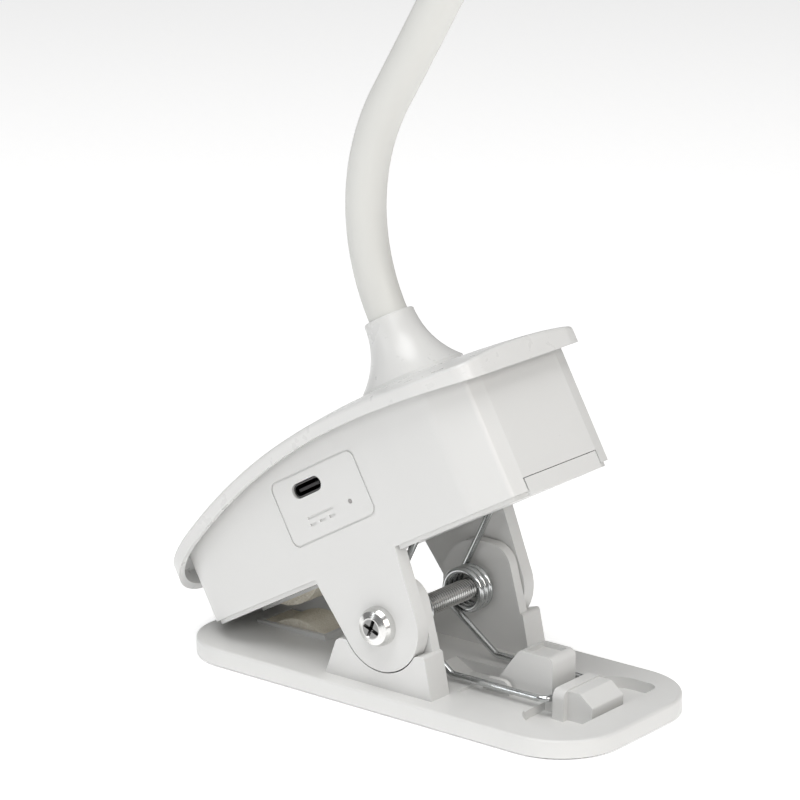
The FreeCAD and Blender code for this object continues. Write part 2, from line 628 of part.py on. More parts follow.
def neck_flare():
    """Neck that grows out of the lid on a concave flare, an arc tangent to its upright top."""
    flare_top = NECK_TOP_W - NECK_TOP_ROUND
    foot = lid_surface(NECK_U)[0] - LID_WALL + FIT
    turn = math.asin(min((flare_top - foot - LID_WALL) / NECK_FLARE, 1))

    def on_flare(angle):
        return Vector(NECK_TOP_RADIUS + NECK_FLARE * (1 - math.cos(angle)), 0,
                      flare_top - NECK_FLARE * math.sin(angle))

    low = on_flare(turn)
    points = [low, Vector(low.x, 0, foot), Vector(0, 0, foot), Vector(0, 0, NECK_TOP_W),
              Vector(NECK_TOP_RADIUS - NECK_TOP_ROUND, 0, NECK_TOP_W), on_flare(0)]
    edges = [Part.makeLine(a, b) for a, b in zip(points, points[1:])]
    edges.append(Part.Arc(on_flare(0), on_flare(turn / 2), low).toShape())
    neck = Part.Face(Part.Wire(edges)).revolve(Vector(0, 0, 0), UP, 360)
    neck.translate(Vector(NECK_U, 0, 0))
    return neck


def touch_cylinder(radius):
    """Cylinder square to the lid through the touch pad's centre."""
    height, slope = lid_surface(TOUCH_U)
    square = Vector(math.sin(math.radians(slope)), 0, math.cos(math.radians(slope)))
    centre = Vector(TOUCH_U, 0, height)
    return rod(radius, centre - square * 5, centre + square * 3)


def touch_pad():
    """Flush touch pad, cut from the lid's own skin."""
    skin = under_curve(LID_RISE, LID_CROWN).cut(under_curve(LID_RISE - LID_WALL, LID_CROWN))
    return skin.common(touch_cylinder(TOUCH_RADIUS - FIT))


def board_top():
    """Board's upper face: the USB-C shell stands on it with its middle at the port's height."""
    return PORT_W - SHELL_HEIGHT / 2


def housing_shell():
    """Side walls of the upper jaw with its ears, screw columns and engraved port panel."""
    walls = plan_prism(jaw_outline(0), 5, 60).cut(plan_prism(jaw_outline(WALL), 4, 61))
    walls = walls.common(under_curve(LID_RISE - LID_WALL - FIT, LID_CROWN))
    walls = walls.cut(slab(-30, 0))
    ears = []
    for near, far in ((UPPER_EAR_IN, BODY_HALF_WIDTH), (-BODY_HALF_WIDTH, -UPPER_EAR_IN)):
        ears.append(ear_profile(0, near, far))
        ears.append(box((-EAR_TOP_HALF_WIDTH, EAR_TOP_HALF_WIDTH), (near, far), (EAR_TOP, EAR_TOP + 5)))
    pillars = []
    for u, y in COLUMNS:
        pillar = rod(COLUMN_RADIUS, Vector(u, y, 0), Vector(u, y, 60))
        web = box((u - 0.8, u + 0.8), (y, wall_inner_half(u) + 0.5), (0, 60))
        pillars += both_sides(pillar.fuse(web))
    pillars = [p.common(under_curve(LID_RISE - LID_WALL - FIT, LID_CROWN)).cut(slab(-30, BELLY_LIP + FIT))
               for p in pillars]
    shell = fuse([walls] + ears + pillars)
    for u, y in COLUMNS:
        for side in (-y, y):
            shell = shell.cut(rod(COLUMN_PILOT, Vector(u, side, 0), Vector(u, side, 30)))
    shell = shell.cut(rod(PIVOT_BORE, Vector(0, -40, 0), Vector(0, 40, 0)))
    shell = shell.cut(hexagon(NUT_FLATS + 2 * FIT, Vector(0, BODY_HALF_WIDTH - NUT_POCKET - FIT, 0), 10))
    lip_gap = box((JAW_TAIL_U - WALL - 0.5, JAW_TAIL_U + 1), (-END_HALF - FIT, END_HALF + FIT),
                  (0, TAIL_LIP_TOP + FIT))
    shell = shell.cut(lip_gap)
    return shell.cut(port_cutter()).cut(panel_engraving()).cut(status_cutter())


def wall_inner_half(u):
    """Half width of the jaw inside its walls."""
    if u <= TAPER_START_U:
        return BODY_HALF_WIDTH - WALL
    share = (u - TAPER_START_U) / (TAPER_END_U - TAPER_START_U)
    return BODY_HALF_WIDTH - WALL - share * (BODY_HALF_WIDTH - TAPER_END_HALF)


def port_slot(length, height, near, far, at_u=PORT_U, at_w=PORT_W):
    """Round-ended USB-C outline as a prism along Y."""
    half, radius = length / 2, height / 2 - 0.01
    corners = [(at_u - half, at_w - height / 2, radius), (at_u + half, at_w - height / 2, radius),
               (at_u + half, at_w + height / 2, radius), (at_u - half, at_w + height / 2, radius)]
    return side_prism(corners, near, far)


def port_cutter():
    return port_slot(PORT_LENGTH, PORT_HEIGHT, -BODY_HALF_WIDTH - 1, -BODY_HALF_WIDTH + UPPER_EAR + 1)


def status_cutter():
    return rod(STATUS_RADIUS + FIT / 2, Vector(STATUS_U, -BODY_HALF_WIDTH - 1, STATUS_W),
               Vector(STATUS_U, -BODY_HALF_WIDTH + UPPER_EAR + 1, STATUS_W))


def panel_engraving():
    """Thin engraved line round the port's panel, and the direct-current sign under the port."""
    outer_y, inner_y = -BODY_HALF_WIDTH - 1, -BODY_HALF_WIDTH + ENGRAVING_DEPTH

    def panel(grow):
        low_u, high_u = PANEL_U[0] - grow, PANEL_U[1] + grow
        low_w, high_w = PANEL_W[0] - grow, PANEL_W[1] + grow
        radius = PANEL_CORNER + grow
        return side_prism([(low_u, low_w, radius), (high_u, low_w, radius), (high_u, high_w, radius),
                           (low_u, high_w, radius)], outer_y, inner_y)

    line = panel(ENGRAVING / 2).cut(panel(-ENGRAVING / 2))

    def mark(middle_u, length, middle_w):
        return box((middle_u - length / 2, middle_u + length / 2), (outer_y, inner_y),
                   (middle_w - SIGN_LINE / 2, middle_w + SIGN_LINE / 2))
    bar = mark(SIGN_U, 2 * SIGN_HALF, SIGN_W + SIGN_SPREAD)
    dashes = [mark(SIGN_U + step * (SIGN_HALF - SIGN_DASH / 2), SIGN_DASH, SIGN_W - SIGN_SPREAD)
              for step in (-1, 0, 1)]
    return Part.makeCompound([line, bar] + dashes)


def belly_cover():
    """Cover under the upper jaw: plate, locating lip, tail lip, pad frame, cell cradles and board posts."""
    plate = plan_prism(jaw_outline(BELLY_INSET), 5, 30).common(slab(-BELLY_THICK, -0.02))
    lip = plan_prism(jaw_outline(WALL + FIT), 5, 30).cut(plan_prism(jaw_outline(WALL + FIT + 1.2), 4, 31))
    lip = lip.common(slab(-0.5, BELLY_LIP))
    tail_half = END_HALF - 0.3
    tail = box((JAW_TAIL_U - 1.3, JAW_TAIL_U), (-tail_half, tail_half), (PARTING_W - 1.3, TAIL_LIP_TOP))
    tail = tail.cut(slab(-30, -BELLY_THICK))
    web = box((JAW_TAIL_U - BELLY_INSET - 2, JAW_TAIL_U), (-END_HALF + 0.3, END_HALF - 0.3), (5, 30))
    web = web.common(slab(-BELLY_THICK, 0))
    cradles = [cell_cradle(u) for u in (CELL_START_U + 10, CELL_START_U + CELL_LENGTH - 14)]
    posts = [rod(1.9, Vector(u, y, PARTING_W - 0.5), Vector(u, y, board_top() - BOARD_THICK - 0.05))
             for u, y in board_post_places()]
    cover = fuse([plate, lip, tail, web, belly_pad_frame()] + cradles + posts)
    notch_half = UPPER_EAR_IN - FIT
    notch_reach = EAR_TOP_HALF_WIDTH + FIT + 0.3
    for near, far in ((notch_half, 40), (-40, -notch_half)):
        cover = cover.cut(box((-notch_reach, notch_reach), (near, far), (5, 30)))
    for u, y in COLUMNS:
        for side in (-y, y):
            cover = cover.cut(rod(COLUMN_PILOT + 0.3, Vector(u, side, 5), Vector(u, side, 30)))
            cover = cover.cut(rod(BELLY_SCREW_HEAD + FIT, Vector(u, side, 5), Vector(u, side, belly_seat(u))))
    return cover.cut(leg_slots())


def belly_seat(u):
    """Height where a belly screw's head bears, half-way into the cover."""
    return PARTING_W + PARTING_SLOPE * u - BELLY_THICK / 2


def board_post_places():
    """Screw posts under the circuit board."""
    inset = 3.0
    return ((BOARD_U[0] + inset, BOARD_Y[1] - inset), (BOARD_U[1] - inset, BOARD_Y[1] - inset))


def cell_cradle(u):
    """Rib whose curved top carries the cell."""
    half = CELL_RADIUS - 1.5
    rib = box((u, u + 2), (CELL_Y - half, CELL_Y + half), (PARTING_W - 0.5, CELL_W - CELL_RADIUS * 0.45))
    return rib.cut(rod(CELL_RADIUS + FIT, Vector(u - 1, CELL_Y, CELL_W), Vector(u + 3, CELL_Y, CELL_W)))


def leg_slots():
    """Slots in the belly where the spring's upper legs enter, wide enough for their swing."""
    leg_y = spring_leg_y()
    slot_half = WIRE / 2 + 0.5
    slot = box((BELLY_ENTRY_U - 3.2, BELLY_ENTRY_U + 3.2), (leg_y - slot_half, leg_y + slot_half), (5, 22))
    return Part.makeCompound(both_sides(slot))


def spring_leg_y():
    """Distance of the spring's upper legs from the middle plane."""
    lower = touch_angle((LEG_BEND_X, LEG_Z), -1)
    entry = JAW.multVec(Vector(BELLY_ENTRY_U, 0, PARTING_W - BELLY_THICK))
    upper = touch_angle((entry.x, entry.z), 1)
    return LEG_Y + COIL_PITCH * (COIL_TURNS + ((lower - upper) % (2 * math.pi)) / (2 * math.pi))


UPPER_PAD_SHIFT = 1.4       # the upper pad's place along the jaw, from the lower pad's X


def hung(shape):
    """Turn a piece upside down and hang it under the belly cover, sloped like the parting line."""
    tilt = math.degrees(math.atan(PARTING_SLOPE))
    shape = shape.copy()
    shape.Placement = Placement(Vector(0, 0, PARTING_W - BELLY_THICK), Rotation(ACROSS, -tilt)).multiply(
        Placement(Vector(UPPER_PAD_SHIFT, 0, 0), Rotation(Vector(1, 0, 0), 180))).multiply(shape.Placement)
    return shape


def belly_pad_frame():
    """Border round the upper jaw's pad."""
    frame = side_prism([(PAD_X[0], -0.5, 0), (PAD_X[0], PAD_FRAME_FRONT, 0), (PAD_X[1], PAD_FRAME_FRONT, 0),
                        (PAD_X[1], -0.5, 0)], -PAD_HALF, PAD_HALF)
    inside = box((PAD_X[0] + PAD_FRAME, PAD_X[1] - PAD_FRAME),
                 (PAD_FRAME - PAD_HALF, PAD_HALF - PAD_FRAME), (0, 5))
    return hung(frame.cut(inside))


def belly_screw(u, y):
    """Small countersunk-looking pan screw through the belly cover into a column."""
    seat = belly_seat(u)
    shank = rod(COLUMN_PILOT - 0.1, Vector(u, y, seat - 0.2), Vector(u, y, seat + 7))
    head = rod(BELLY_SCREW_HEAD, Vector(u, y, seat - BELLY_THICK / 2), Vector(u, y, seat))
    slots = [Part.makeBox(2 * a, 2 * b, 1, Vector(u - a, y - b, seat - BELLY_THICK / 2 - 0.65))
             for a, b in ((1.2, 0.25), (0.25, 1.2))]
    return shank.fuse(head).cut(fuse(slots))


# ================================================================ electrics, in the jaw's frame
def circuit_board():
    top = board_top()
    board = box(BOARD_U, BOARD_Y, (top - BOARD_THICK, top))
    for u, y in board_post_places():
        board = board.cut(rod(COLUMN_PILOT + 0.2, Vector(u, y, top - 3), Vector(u, y, top + 3)))
    chips = [box((u, u + long), (y, y + wide), (top - 0.01, top + tall)) for u, y, long, wide, tall in
             ((-19.0, -15.0, 5.0, 5.0, 1.2), (3.5, -14.0, 4.0, 5.2, 1.6), (4.0, -8.0, 5.0, 4.0, 2.0))]
    return fuse([board] + chips)


def board_screw(place):
    u, y = place
    top = board_top()
    head = lathe([(0, 0), (2.0, 0), (2.0, 0.6), (1.4, 1.2), (0, 1.3)], Vector(u, y, top), UP)
    shank = rod(COLUMN_PILOT, Vector(u, y, top - BOARD_THICK - 0.04), Vector(u, y, top + 0.1))
    return head.fuse(shank).cut(box((u - 1.2, u + 1.2), (y - 0.25, y + 0.25), (top + 0.8, top + 2)))


def usb_shell():
    """Metal shell of the USB-C receptacle."""
    near = -BODY_HALF_WIDTH + 0.6
    far = near + SHELL_DEPTH
    outer = port_slot(SHELL_LENGTH, SHELL_HEIGHT - 0.02, near, far)
    inner = port_slot(SHELL_LENGTH - 0.6, SHELL_HEIGHT - 0.62, near - 1, far - 0.6)
    return outer.cut(inner)


def usb_tongue():
    """Contact tongue inside the receptacle."""
    near = -BODY_HALF_WIDTH + 1.1
    far = -BODY_HALF_WIDTH + SHELL_DEPTH
    return box((PORT_U - 3.35, PORT_U + 3.35), (near, far), (PORT_W - 0.35, PORT_W + 0.35))


def status_light():
    """Light pipe from the board's underside to the hole in the side wall."""
    under = board_top() - BOARD_THICK
    inner_face = -BODY_HALF_WIDTH + UPPER_EAR
    block = box((STATUS_U - 1.3, STATUS_U + 1.3), (inner_face + 0.4, inner_face + 3),
                (STATUS_W - 1.3, under))
    pin = rod(STATUS_RADIUS, Vector(STATUS_U, -BODY_HALF_WIDTH + 0.05, STATUS_W),
              Vector(STATUS_U, -BODY_HALF_WIDTH + UPPER_EAR + 1, STATUS_W))
    return block.fuse(pin)


def battery_cell():
    """18650 cell lying along the jaw, with its raised positive end."""
    start = Vector(CELL_START_U, CELL_Y, CELL_W)
    body = lathe([(0, 0), (CELL_RADIUS - 0.6, 0), (CELL_RADIUS, 0.6), (CELL_RADIUS, CELL_LENGTH - 2.2),
                  (CELL_RADIUS - 0.8, CELL_LENGTH - 1.4), (3.0, CELL_LENGTH - 1.4),
                   (3.0, CELL_LENGTH), (0, CELL_LENGTH)],
                 start, Vector(1, 0, 0))
    return body


def touch_spring():
    """Contact spring between the board and the touch pad."""
    place_y, radius, wire, pitch = -4.4, 1.6, 0.5, 1.5
    top = lid_surface(TOUCH_U + 1.0, place_y)[0] - LID_WALL - wire - 0.7
    low = board_top() + wire / 2 + 0.05
    helix = Part.makeHelix(pitch, top - low, radius)
    rise = Vector(0, radius, pitch / (2 * math.pi))
    profile = Part.Wire(Part.makeCircle(wire / 2, Vector(radius, 0, 0), rise))
    coil = Part.Wire(helix).makePipeShell([profile], True, True)
    coil.translate(Vector(TOUCH_U + 1.0, place_y, low))
    return coil


# ================================================================ gooseneck
class Path:
    """Centre line of the gooseneck in the X-Z plane: arcs and straights, by distance along it."""

    def __init__(self, start, heading):
        self.pieces = []
        at, far, turned = start, 0.0, heading
        for length, radius, _ in STRETCHES:
            self.pieces.append((far, far + length, at, turned, radius))
            at = self.step(at, turned, radius, length)
            turned += math.degrees(length / radius) if radius else 0.0
            far += length
        self.length = far

    @staticmethod
    def way(heading):
        """Unit vector of a heading, measured from +Z towards +X."""
        return Vector(math.sin(math.radians(heading)), 0, math.cos(math.radians(heading)))

    def step(self, at, heading, radius, length):
        if not radius:
            return at + self.way(heading) * length
        centre = at + self.way(heading + 90) * radius
        return centre - self.way(heading + 90 + math.degrees(length / radius)) * radius

    def piece(self, far):
        for start, end, at, heading, radius in self.pieces:
            if far <= end + 1e-9 or end == self.length:
                return start, at, heading, radius

    def point(self, far):
        start, at, heading, radius = self.piece(max(far, 0))
        return self.step(at, heading, radius, far - start) if far >= 0 else at + self.way(heading) * far

    def heading(self, far):
        start, _, heading, radius = self.piece(max(far, 0))
        return heading + (math.degrees((far - start) / radius) if radius and far > 0 else 0.0)

    def tube(self, start, end, outer, inner=0.0):
        """Round bar or tube between two distances in the same stretch, or before the first."""
        at, way = self.point(start), self.way(self.heading(start))
        face = Part.Face(Part.Wire(Part.makeCircle(outer, at, way)))
        if inner:
            face = face.cut(Part.Face(Part.Wire(Part.makeCircle(inner, at, way))))
        _, _, _, radius = self.piece(end)
        if start < 0 or not radius:
            return face.extrude(way * (end - start))
        centre = at + self.way(self.heading(start) + 90) * radius
        turn = math.degrees((end - start) / radius)
        return face.revolve(centre, ACROSS, turn)


def gooseneck_path():
    start = JAW.multVec(Vector(NECK_U, 0, NECK_TOP_W))
    return Path(start, -JAW_PITCH)


def joint_places():
    """Distances of the gooseneck's joints; the last one is the lamp head's."""
    places, far = [], 0.0
    for length, _, links in STRETCHES:
        places += [far + length * (k + 1) / links for k in range(links)]
        far += length
    return places


def cup(path, far, outer_radius):
    """Socket round a joint's ball, open backwards."""
    centre, back = path.point(far), path.way(path.heading(far)) * -1
    mouth_depth = 6.0
    mouth = Part.makeCone(0, mouth_depth * math.tan(math.radians(CUP_MOUTH)), mouth_depth, centre, back)
    return Part.makeSphere(outer_radius, centre).cut(mouth)


def ball_space(path, far):
    return Part.makeSphere(BALL_RADIUS + RUNNING, path.point(far))


def gooseneck_core(path, start, end, first):
    """One link: cup at its start, rod, thin stem and ball at its end."""
    stem_start = end - 5.0
    solids = [path.tube(stem_start - 0.5, end, STEM_RADIUS), Part.makeSphere(BALL_RADIUS, path.point(end))]
    if first:
        solids.append(path.tube(0, stem_start, CORE_RADIUS))
        solids.append(path.tube(FERRULE_TOP - NECK_TOP_W + FIT, 0.0, CORE_RADIUS))
        return fuse(solids)
    solids += [path.tube(start + 1.0, stem_start, CORE_RADIUS),
               cup(path, start, BALL_RADIUS + RUNNING + CUP_WALL)]
    return fuse(solids).cut(ball_space(path, start))


def gooseneck_sleeve(path, start, end, first):
    """Soft sleeve over one link, cut back from the joints so that they can bend."""
    if first:
        low = path.tube(FERRULE_FLANGE_TOP - NECK_TOP_W + FIT, 0.0, SLEEVE_RADIUS, SLEEVE_BORE)
        return low.fuse(path.tube(0.0, end - JOINT_GAP, SLEEVE_RADIUS, SLEEVE_BORE))
    return path.tube(start + JOINT_GAP, end - JOINT_GAP, SLEEVE_RADIUS, SLEEVE_BORE)


FERRULE_FLANGE_TOP = NECK_TOP_W - NECK_SOCKET + 1.6
FERRULE_TOP = FERRULE_FLANGE_TOP + 2.5
FERRULE_FOOT = 42.5


def gooseneck_ferrule():
    """Metal ferrule that fixes the gooseneck in the neck, in the jaw's frame."""
    seat = NECK_TOP_W - NECK_SOCKET + 0.05
    bore = 1.6
    points = [(bore, FERRULE_FOOT), (FERRULE_HOLE - FIT, FERRULE_FOOT), (FERRULE_HOLE - FIT, seat),
              (SLEEVE_RADIUS, seat), (SLEEVE_RADIUS, FERRULE_FLANGE_TOP),
              (SLEEVE_BORE - FIT, FERRULE_FLANGE_TOP),
              (SLEEVE_BORE - FIT, FERRULE_TOP), (bore, FERRULE_TOP)]
    return lathe(points, Vector(NECK_U, 0, 0), UP)


def gooseneck_nut():
    """Lock nut on the ferrule, under the lid."""
    thick, flats = 3.0, 10.0
    top = lid_surface(NECK_U)[0] - LID_WALL - 2 * FIT
    nut = hexagon(flats, Vector(0, 0, 0), thick)
    nut.Placement = Placement(Vector(NECK_U, 0, top - thick), Rotation(ACROSS, UP))
    low, high = Vector(NECK_U, 0, top - thick - 1), Vector(NECK_U, 0, top + 1)
    return nut.cut(rod(FERRULE_HOLE - FIT + 0.05, low, high))


# ================================================================ lamp head, in its own frame
# Here X runs from the last joint along the head, Z is its back and -Z is the light's way.
def head_outline(inset):
    low, high, half = HEAD_START + inset, HEAD_START + HEAD_LENGTH - inset, HEAD_WIDTH / 2 - inset
    radius = HEAD_CORNER - inset
    return [(low, -half, radius), (high, -half, radius), (high, half, radius), (low, half, radius)]


HEAD_FRONT = -COLLAR_RADIUS + 0.6     # where the back shell meets the bezel
PLATE_SEAT = HEAD_FRONT + HEAD_THICK - HEAD_WALL - 2.2
HEAT_PLATE = 1.0
LED_BOARD = 1.0


def head_boss_places():
    return ((HEAD_START + 22.0, 0.0), (HEAD_START + HEAD_LENGTH - 22.0, 0.0))


def head_back_shell():
    """Moulded back of the lamp head with the collar that takes the gooseneck."""
    back = HEAD_FRONT + HEAD_THICK
    body = plan_prism(head_outline(0), HEAD_FRONT, back)
    body = body.makeFillet(HEAD_BACK_ROUND, edges_at(body, lambda p: p.z > back - 0.01))
    inside = plan_prism(head_outline(HEAD_WALL), HEAD_FRONT - 1, back - HEAD_WALL)
    inside_round = HEAD_BACK_ROUND - HEAD_WALL
    inside = inside.makeFillet(inside_round, edges_at(inside, lambda p: p.z > back - HEAD_WALL - 0.01))
    collar = rod(COLLAR_RADIUS, Vector(JOINT_GAP + 0.1, 0, 0), Vector(HEAD_START + 9, 0, 0))
    collar = collar.cut(box((HEAD_START, 60), (-20, 20), (-30, HEAD_FRONT)))
    socket = rod(SLEEVE_BORE, Vector(-1, 0, 0), Vector(HEAD_START + 20, 0, 0))
    bosses = [rod(2.6, Vector(x, y, PLATE_SEAT + 0.02), Vector(x, y, back - HEAD_WALL + 0.3))
              for x, y in head_boss_places()]
    shell = fuse([body, collar]).cut(inside).cut(socket)
    shell = fuse([shell] + bosses)
    for x, y in head_boss_places():
        shell = shell.cut(rod(0.9, Vector(x, y, PLATE_SEAT - 1), Vector(x, y, back - HEAD_WALL)))
    return shell


def head_socket():
    """Metal socket in the collar, with the cup round the gooseneck's last ball."""
    reach = HEAD_START + HEAD_WALL
    body = rod(SLEEVE_BORE - 0.1, Vector(1.0, 0, 0), Vector(reach, 0, 0))
    mouth_depth = 6.0
    mouth = Part.makeCone(0, mouth_depth * math.tan(math.radians(CUP_MOUTH)), mouth_depth, Vector(0, 0, 0),
                          Vector(-1, 0, 0))
    shell = Part.makeSphere(BALL_RADIUS + RUNNING + CUP_WALL, Vector(0, 0, 0)).cut(mouth)
    return body.fuse(shell).cut(Part.makeSphere(BALL_RADIUS + RUNNING, Vector(0, 0, 0)))


def head_bezel():
    """Front frame round the diffuser."""
    ring = plan_prism(head_outline(0), HEAD_FRONT - BEZEL_THICK, HEAD_FRONT - 0.05)
    ring = ring.makeFillet(0.5, edges_at(ring, lambda p: p.z < HEAD_FRONT - BEZEL_THICK + 0.01))
    window = plan_prism(head_outline(BEZEL_WIDTH), HEAD_FRONT - BEZEL_THICK - 1, HEAD_FRONT + 2)
    lip = plan_prism(head_outline(HEAD_WALL + FIT), HEAD_FRONT - 0.5, HEAD_FRONT + 1.6)
    return ring.fuse(lip).removeSplitter().cut(window)


def head_diffuser():
    """Opal panel: its flange lies behind the bezel, its face comes through the window."""
    front = HEAD_FRONT - BEZEL_THICK + 0.3
    face = plan_prism(head_outline(BEZEL_WIDTH + FIT), front, HEAD_FRONT + 1.7 + DIFFUSER_THICK)
    flange = plan_prism(head_outline(HEAD_WALL + FIT), HEAD_FRONT + 1.65, HEAD_FRONT + 1.65 + DIFFUSER_THICK)
    thin = plan_prism(head_outline(BEZEL_WIDTH + 1.5), front + DIFFUSER_THICK, HEAD_FRONT + 9)
    return face.fuse(flange).removeSplitter().cut(thin)


def head_heat_plate():
    """Aluminium plate behind the LED board."""
    return head_plate(PLATE_SEAT - HEAT_PLATE, PLATE_SEAT, 3.4)


def head_led_board():
    top = PLATE_SEAT - HEAT_PLATE - 0.02
    return head_plate(top - LED_BOARD, top, 4.2)


def head_plate(low, high, inset):
    """Plate inside the head, with holes for its screws and clear of the socket."""
    plate = plan_prism(head_outline(inset), low, high)
    plate = plate.cut(box((0, HEAD_START + 13), (-30, 30), (-30, 30)))
    for x, y in head_boss_places():
        plate = plate.cut(rod(1.2, Vector(x, y, low - 1), Vector(x, y, high + 1)))
    return plate


def head_leds():
    """LED packages in even rows under the board."""
    top = PLATE_SEAT - HEAT_PLATE - LED_BOARD - 0.04
    long, wide, tall = LED_SIZE
    first, last = HEAD_START + 28.0, HEAD_START + HEAD_LENGTH - 28.0
    leds = []
    for row in range(LED_ROWS):
        y = (row - (LED_ROWS - 1) / 2) * 14.0
        for k in range(LED_COUNT):
            x = first + (last - first) * k / (LED_COUNT - 1)
            leds.append(box((x - long / 2, x + long / 2), (y - wide / 2, y + wide / 2), (top - tall, top)))
    return Part.makeCompound(leds)


def head_screw(place):
    x, y = place
    low = PLATE_SEAT - HEAT_PLATE - LED_BOARD - 0.04
    head = lathe([(0, -1.0), (1.4, -0.8), (1.9, -0.3), (1.9, 0), (0, 0)], Vector(x, y, low), UP)
    shank = rod(0.8, Vector(x, y, low - 0.2), Vector(x, y, PLATE_SEAT + 2.0))
    return head.fuse(shank).cut(box((x - 1.3, x + 1.3), (y - 0.25, y + 0.25), (low - 2, low - 0.6)))


# ================================================================ build
def main():
    os.makedirs("parts", exist_ok=True)
    save("base_plate", base_plate())
    save("base_sole", base_sole())
    lower_pad = jaw_pad(PAD_FRAME_FRONT, PAD_FRAME_REAR, FIT)
    lower_pad.translate(Vector(0, 0, PLATE_TOP + 0.02))
    save("lower_jaw_pad", lower_pad)
    save("torsion_spring", torsion_spring())
    save("pivot_screw", pivot_screw())
    save("pivot_nut", pivot_nut(), JAW)

    save("housing_shell", housing_shell(), JAW)
    save("top_lid", top_lid(), JAW)
    save("belly_cover", belly_cover(), JAW)
    upper_pad = jaw_pad(PAD_FRAME_FRONT, PAD_FRAME_FRONT, FIT)
    upper_pad.translate(Vector(0, 0, 0.02))
    save("upper_jaw_pad", hung(upper_pad), JAW)
    corner = 0
    for u, y in COLUMNS:
        for side in (-y, y):
            corner += 1
            save("belly_screw_%d" % corner, belly_screw(u, side), JAW)
    save("touch_pad", touch_pad(), JAW)
    save("touch_spring", touch_spring(), JAW)
    save("circuit_board", circuit_board(), JAW)
    for index, place in enumerate(board_post_places()):
        save("board_screw_%d" % (index + 1), board_screw(place), JAW)
    save("usb_c_shell", usb_shell(), JAW)
    save("usb_c_tongue", usb_tongue(), JAW)
    save("status_light", status_light(), JAW)
    save("battery_cell", battery_cell(), JAW)
    save("gooseneck_ferrule", gooseneck_ferrule(), JAW)
    save("gooseneck_nut", gooseneck_nut(), JAW)

    path = gooseneck_path()
    start = 0.0
    for index, end in enumerate(joint_places()):
        first = index == 0
        save("gooseneck_core_%d" % index, gooseneck_core(path, start, end, first))
        save("gooseneck_sleeve_%d" % index, gooseneck_sleeve(path, start, end, first))
        at = path.point(end)
        print("joint %d at %.3f %.3f, heading %.2f" % (index + 1, at.x, at.z, path.heading(end)))
        start = end

    heading = path.heading(path.length)
    along, back = path.way(heading), path.way(heading + 90)
    head = Placement(path.point(path.length), Rotation(along, back.cross(along), back, "XYZ"))
    save("head_socket", head_socket(), head)
    save("head_back_shell", head_back_shell(), head)
    save("head_bezel", head_bezel(), head)
    save("head_diffuser", head_diffuser(), head)
    save("head_heat_plate", head_heat_plate(), head)
    save("head_led_board", head_led_board(), head)
    save("head_leds", head_leds(), head)
    for index, place in enumerate(head_boss_places()):
        save("head_screw_%d" % (index + 1), head_screw(place), head)


main()
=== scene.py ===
# %% [markdown]
# # A clip-on reading lamp
# The lamp's CAD model is already in place and its bodies can move. This lesson dresses it: a camera,
# studio light, a finish for each material, a smooth sleeve over the gooseneck, a wire spring,
# and soft jaw pads. All sizes are in metres.

# %% Load the frame
import json
import math

import bpy
from mathutils import Matrix, Vector, noise
from mathutils.bvhtree import BVHTree


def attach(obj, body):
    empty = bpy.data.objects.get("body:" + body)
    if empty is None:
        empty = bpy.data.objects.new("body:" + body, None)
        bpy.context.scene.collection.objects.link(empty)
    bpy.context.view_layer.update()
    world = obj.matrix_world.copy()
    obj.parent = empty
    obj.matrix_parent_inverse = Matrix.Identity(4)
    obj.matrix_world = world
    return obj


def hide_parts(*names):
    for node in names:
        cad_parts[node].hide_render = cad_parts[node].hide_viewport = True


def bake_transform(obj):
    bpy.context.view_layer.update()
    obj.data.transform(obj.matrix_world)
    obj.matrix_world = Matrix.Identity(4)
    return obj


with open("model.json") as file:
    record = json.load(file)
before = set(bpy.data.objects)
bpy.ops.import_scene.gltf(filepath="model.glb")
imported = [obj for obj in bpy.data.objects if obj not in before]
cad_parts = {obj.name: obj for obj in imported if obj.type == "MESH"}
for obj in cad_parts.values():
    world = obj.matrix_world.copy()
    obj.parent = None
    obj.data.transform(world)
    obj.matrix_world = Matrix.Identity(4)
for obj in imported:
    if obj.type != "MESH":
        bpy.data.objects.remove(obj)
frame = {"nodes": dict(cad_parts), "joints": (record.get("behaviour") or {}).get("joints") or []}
scene = bpy.context.scene
nodes = frame["nodes"]
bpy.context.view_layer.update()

# %% [markdown]
# ## Camera
# A small product is best seen from a little way off with a long lens, which keeps its edges nearly
# parallel. The camera stands on a sphere round the clip, so it is set by two angles and a distance.
# It is aimed at the clip, and the arm leaves the top of the picture.

# %% Camera
CAMERA_AZIMUTH = math.radians(38.604)
CAMERA_ELEVATION = math.radians(15.992)
CAMERA_DISTANCE = 0.7744
CAMERA_TARGET = Vector((-0.0105, 0.0, 0.0651))
LENS_MM = 153.0
SENSOR_MM = 36.0


def direction(azimuth, elevation):
    """Unit vector towards an azimuth, counted from -Y towards +X, and an elevation."""
    flat = math.cos(elevation)
    return Vector((math.sin(azimuth) * flat, -math.cos(azimuth) * flat, math.sin(elevation)))


def place_facing(item, away, distance):
    """Put an object at a distance from the clip and turn it to face the clip."""
    item.location = CAMERA_TARGET + away * distance
    item.rotation_euler = (-away).to_track_quat("-Z", "Y").to_euler()
    scene.collection.objects.link(item)


camera = bpy.data.objects.new("camera", bpy.data.cameras.new("camera"))
camera.data.lens, camera.data.sensor_width = LENS_MM, SENSOR_MM
place_facing(camera, direction(CAMERA_AZIMUTH, CAMERA_ELEVATION), CAMERA_DISTANCE)
scene.camera = camera
print("camera at", [round(c, 4) for c in camera.location])

# %% [markdown]
# ## Studio light
# White plastic on a white ground shows its form through small differences in brightness. A dim
# surround fills the shadows. It is a little darker behind the lamp, so that glossy and metal parts
# have something darker to mirror at their edges.

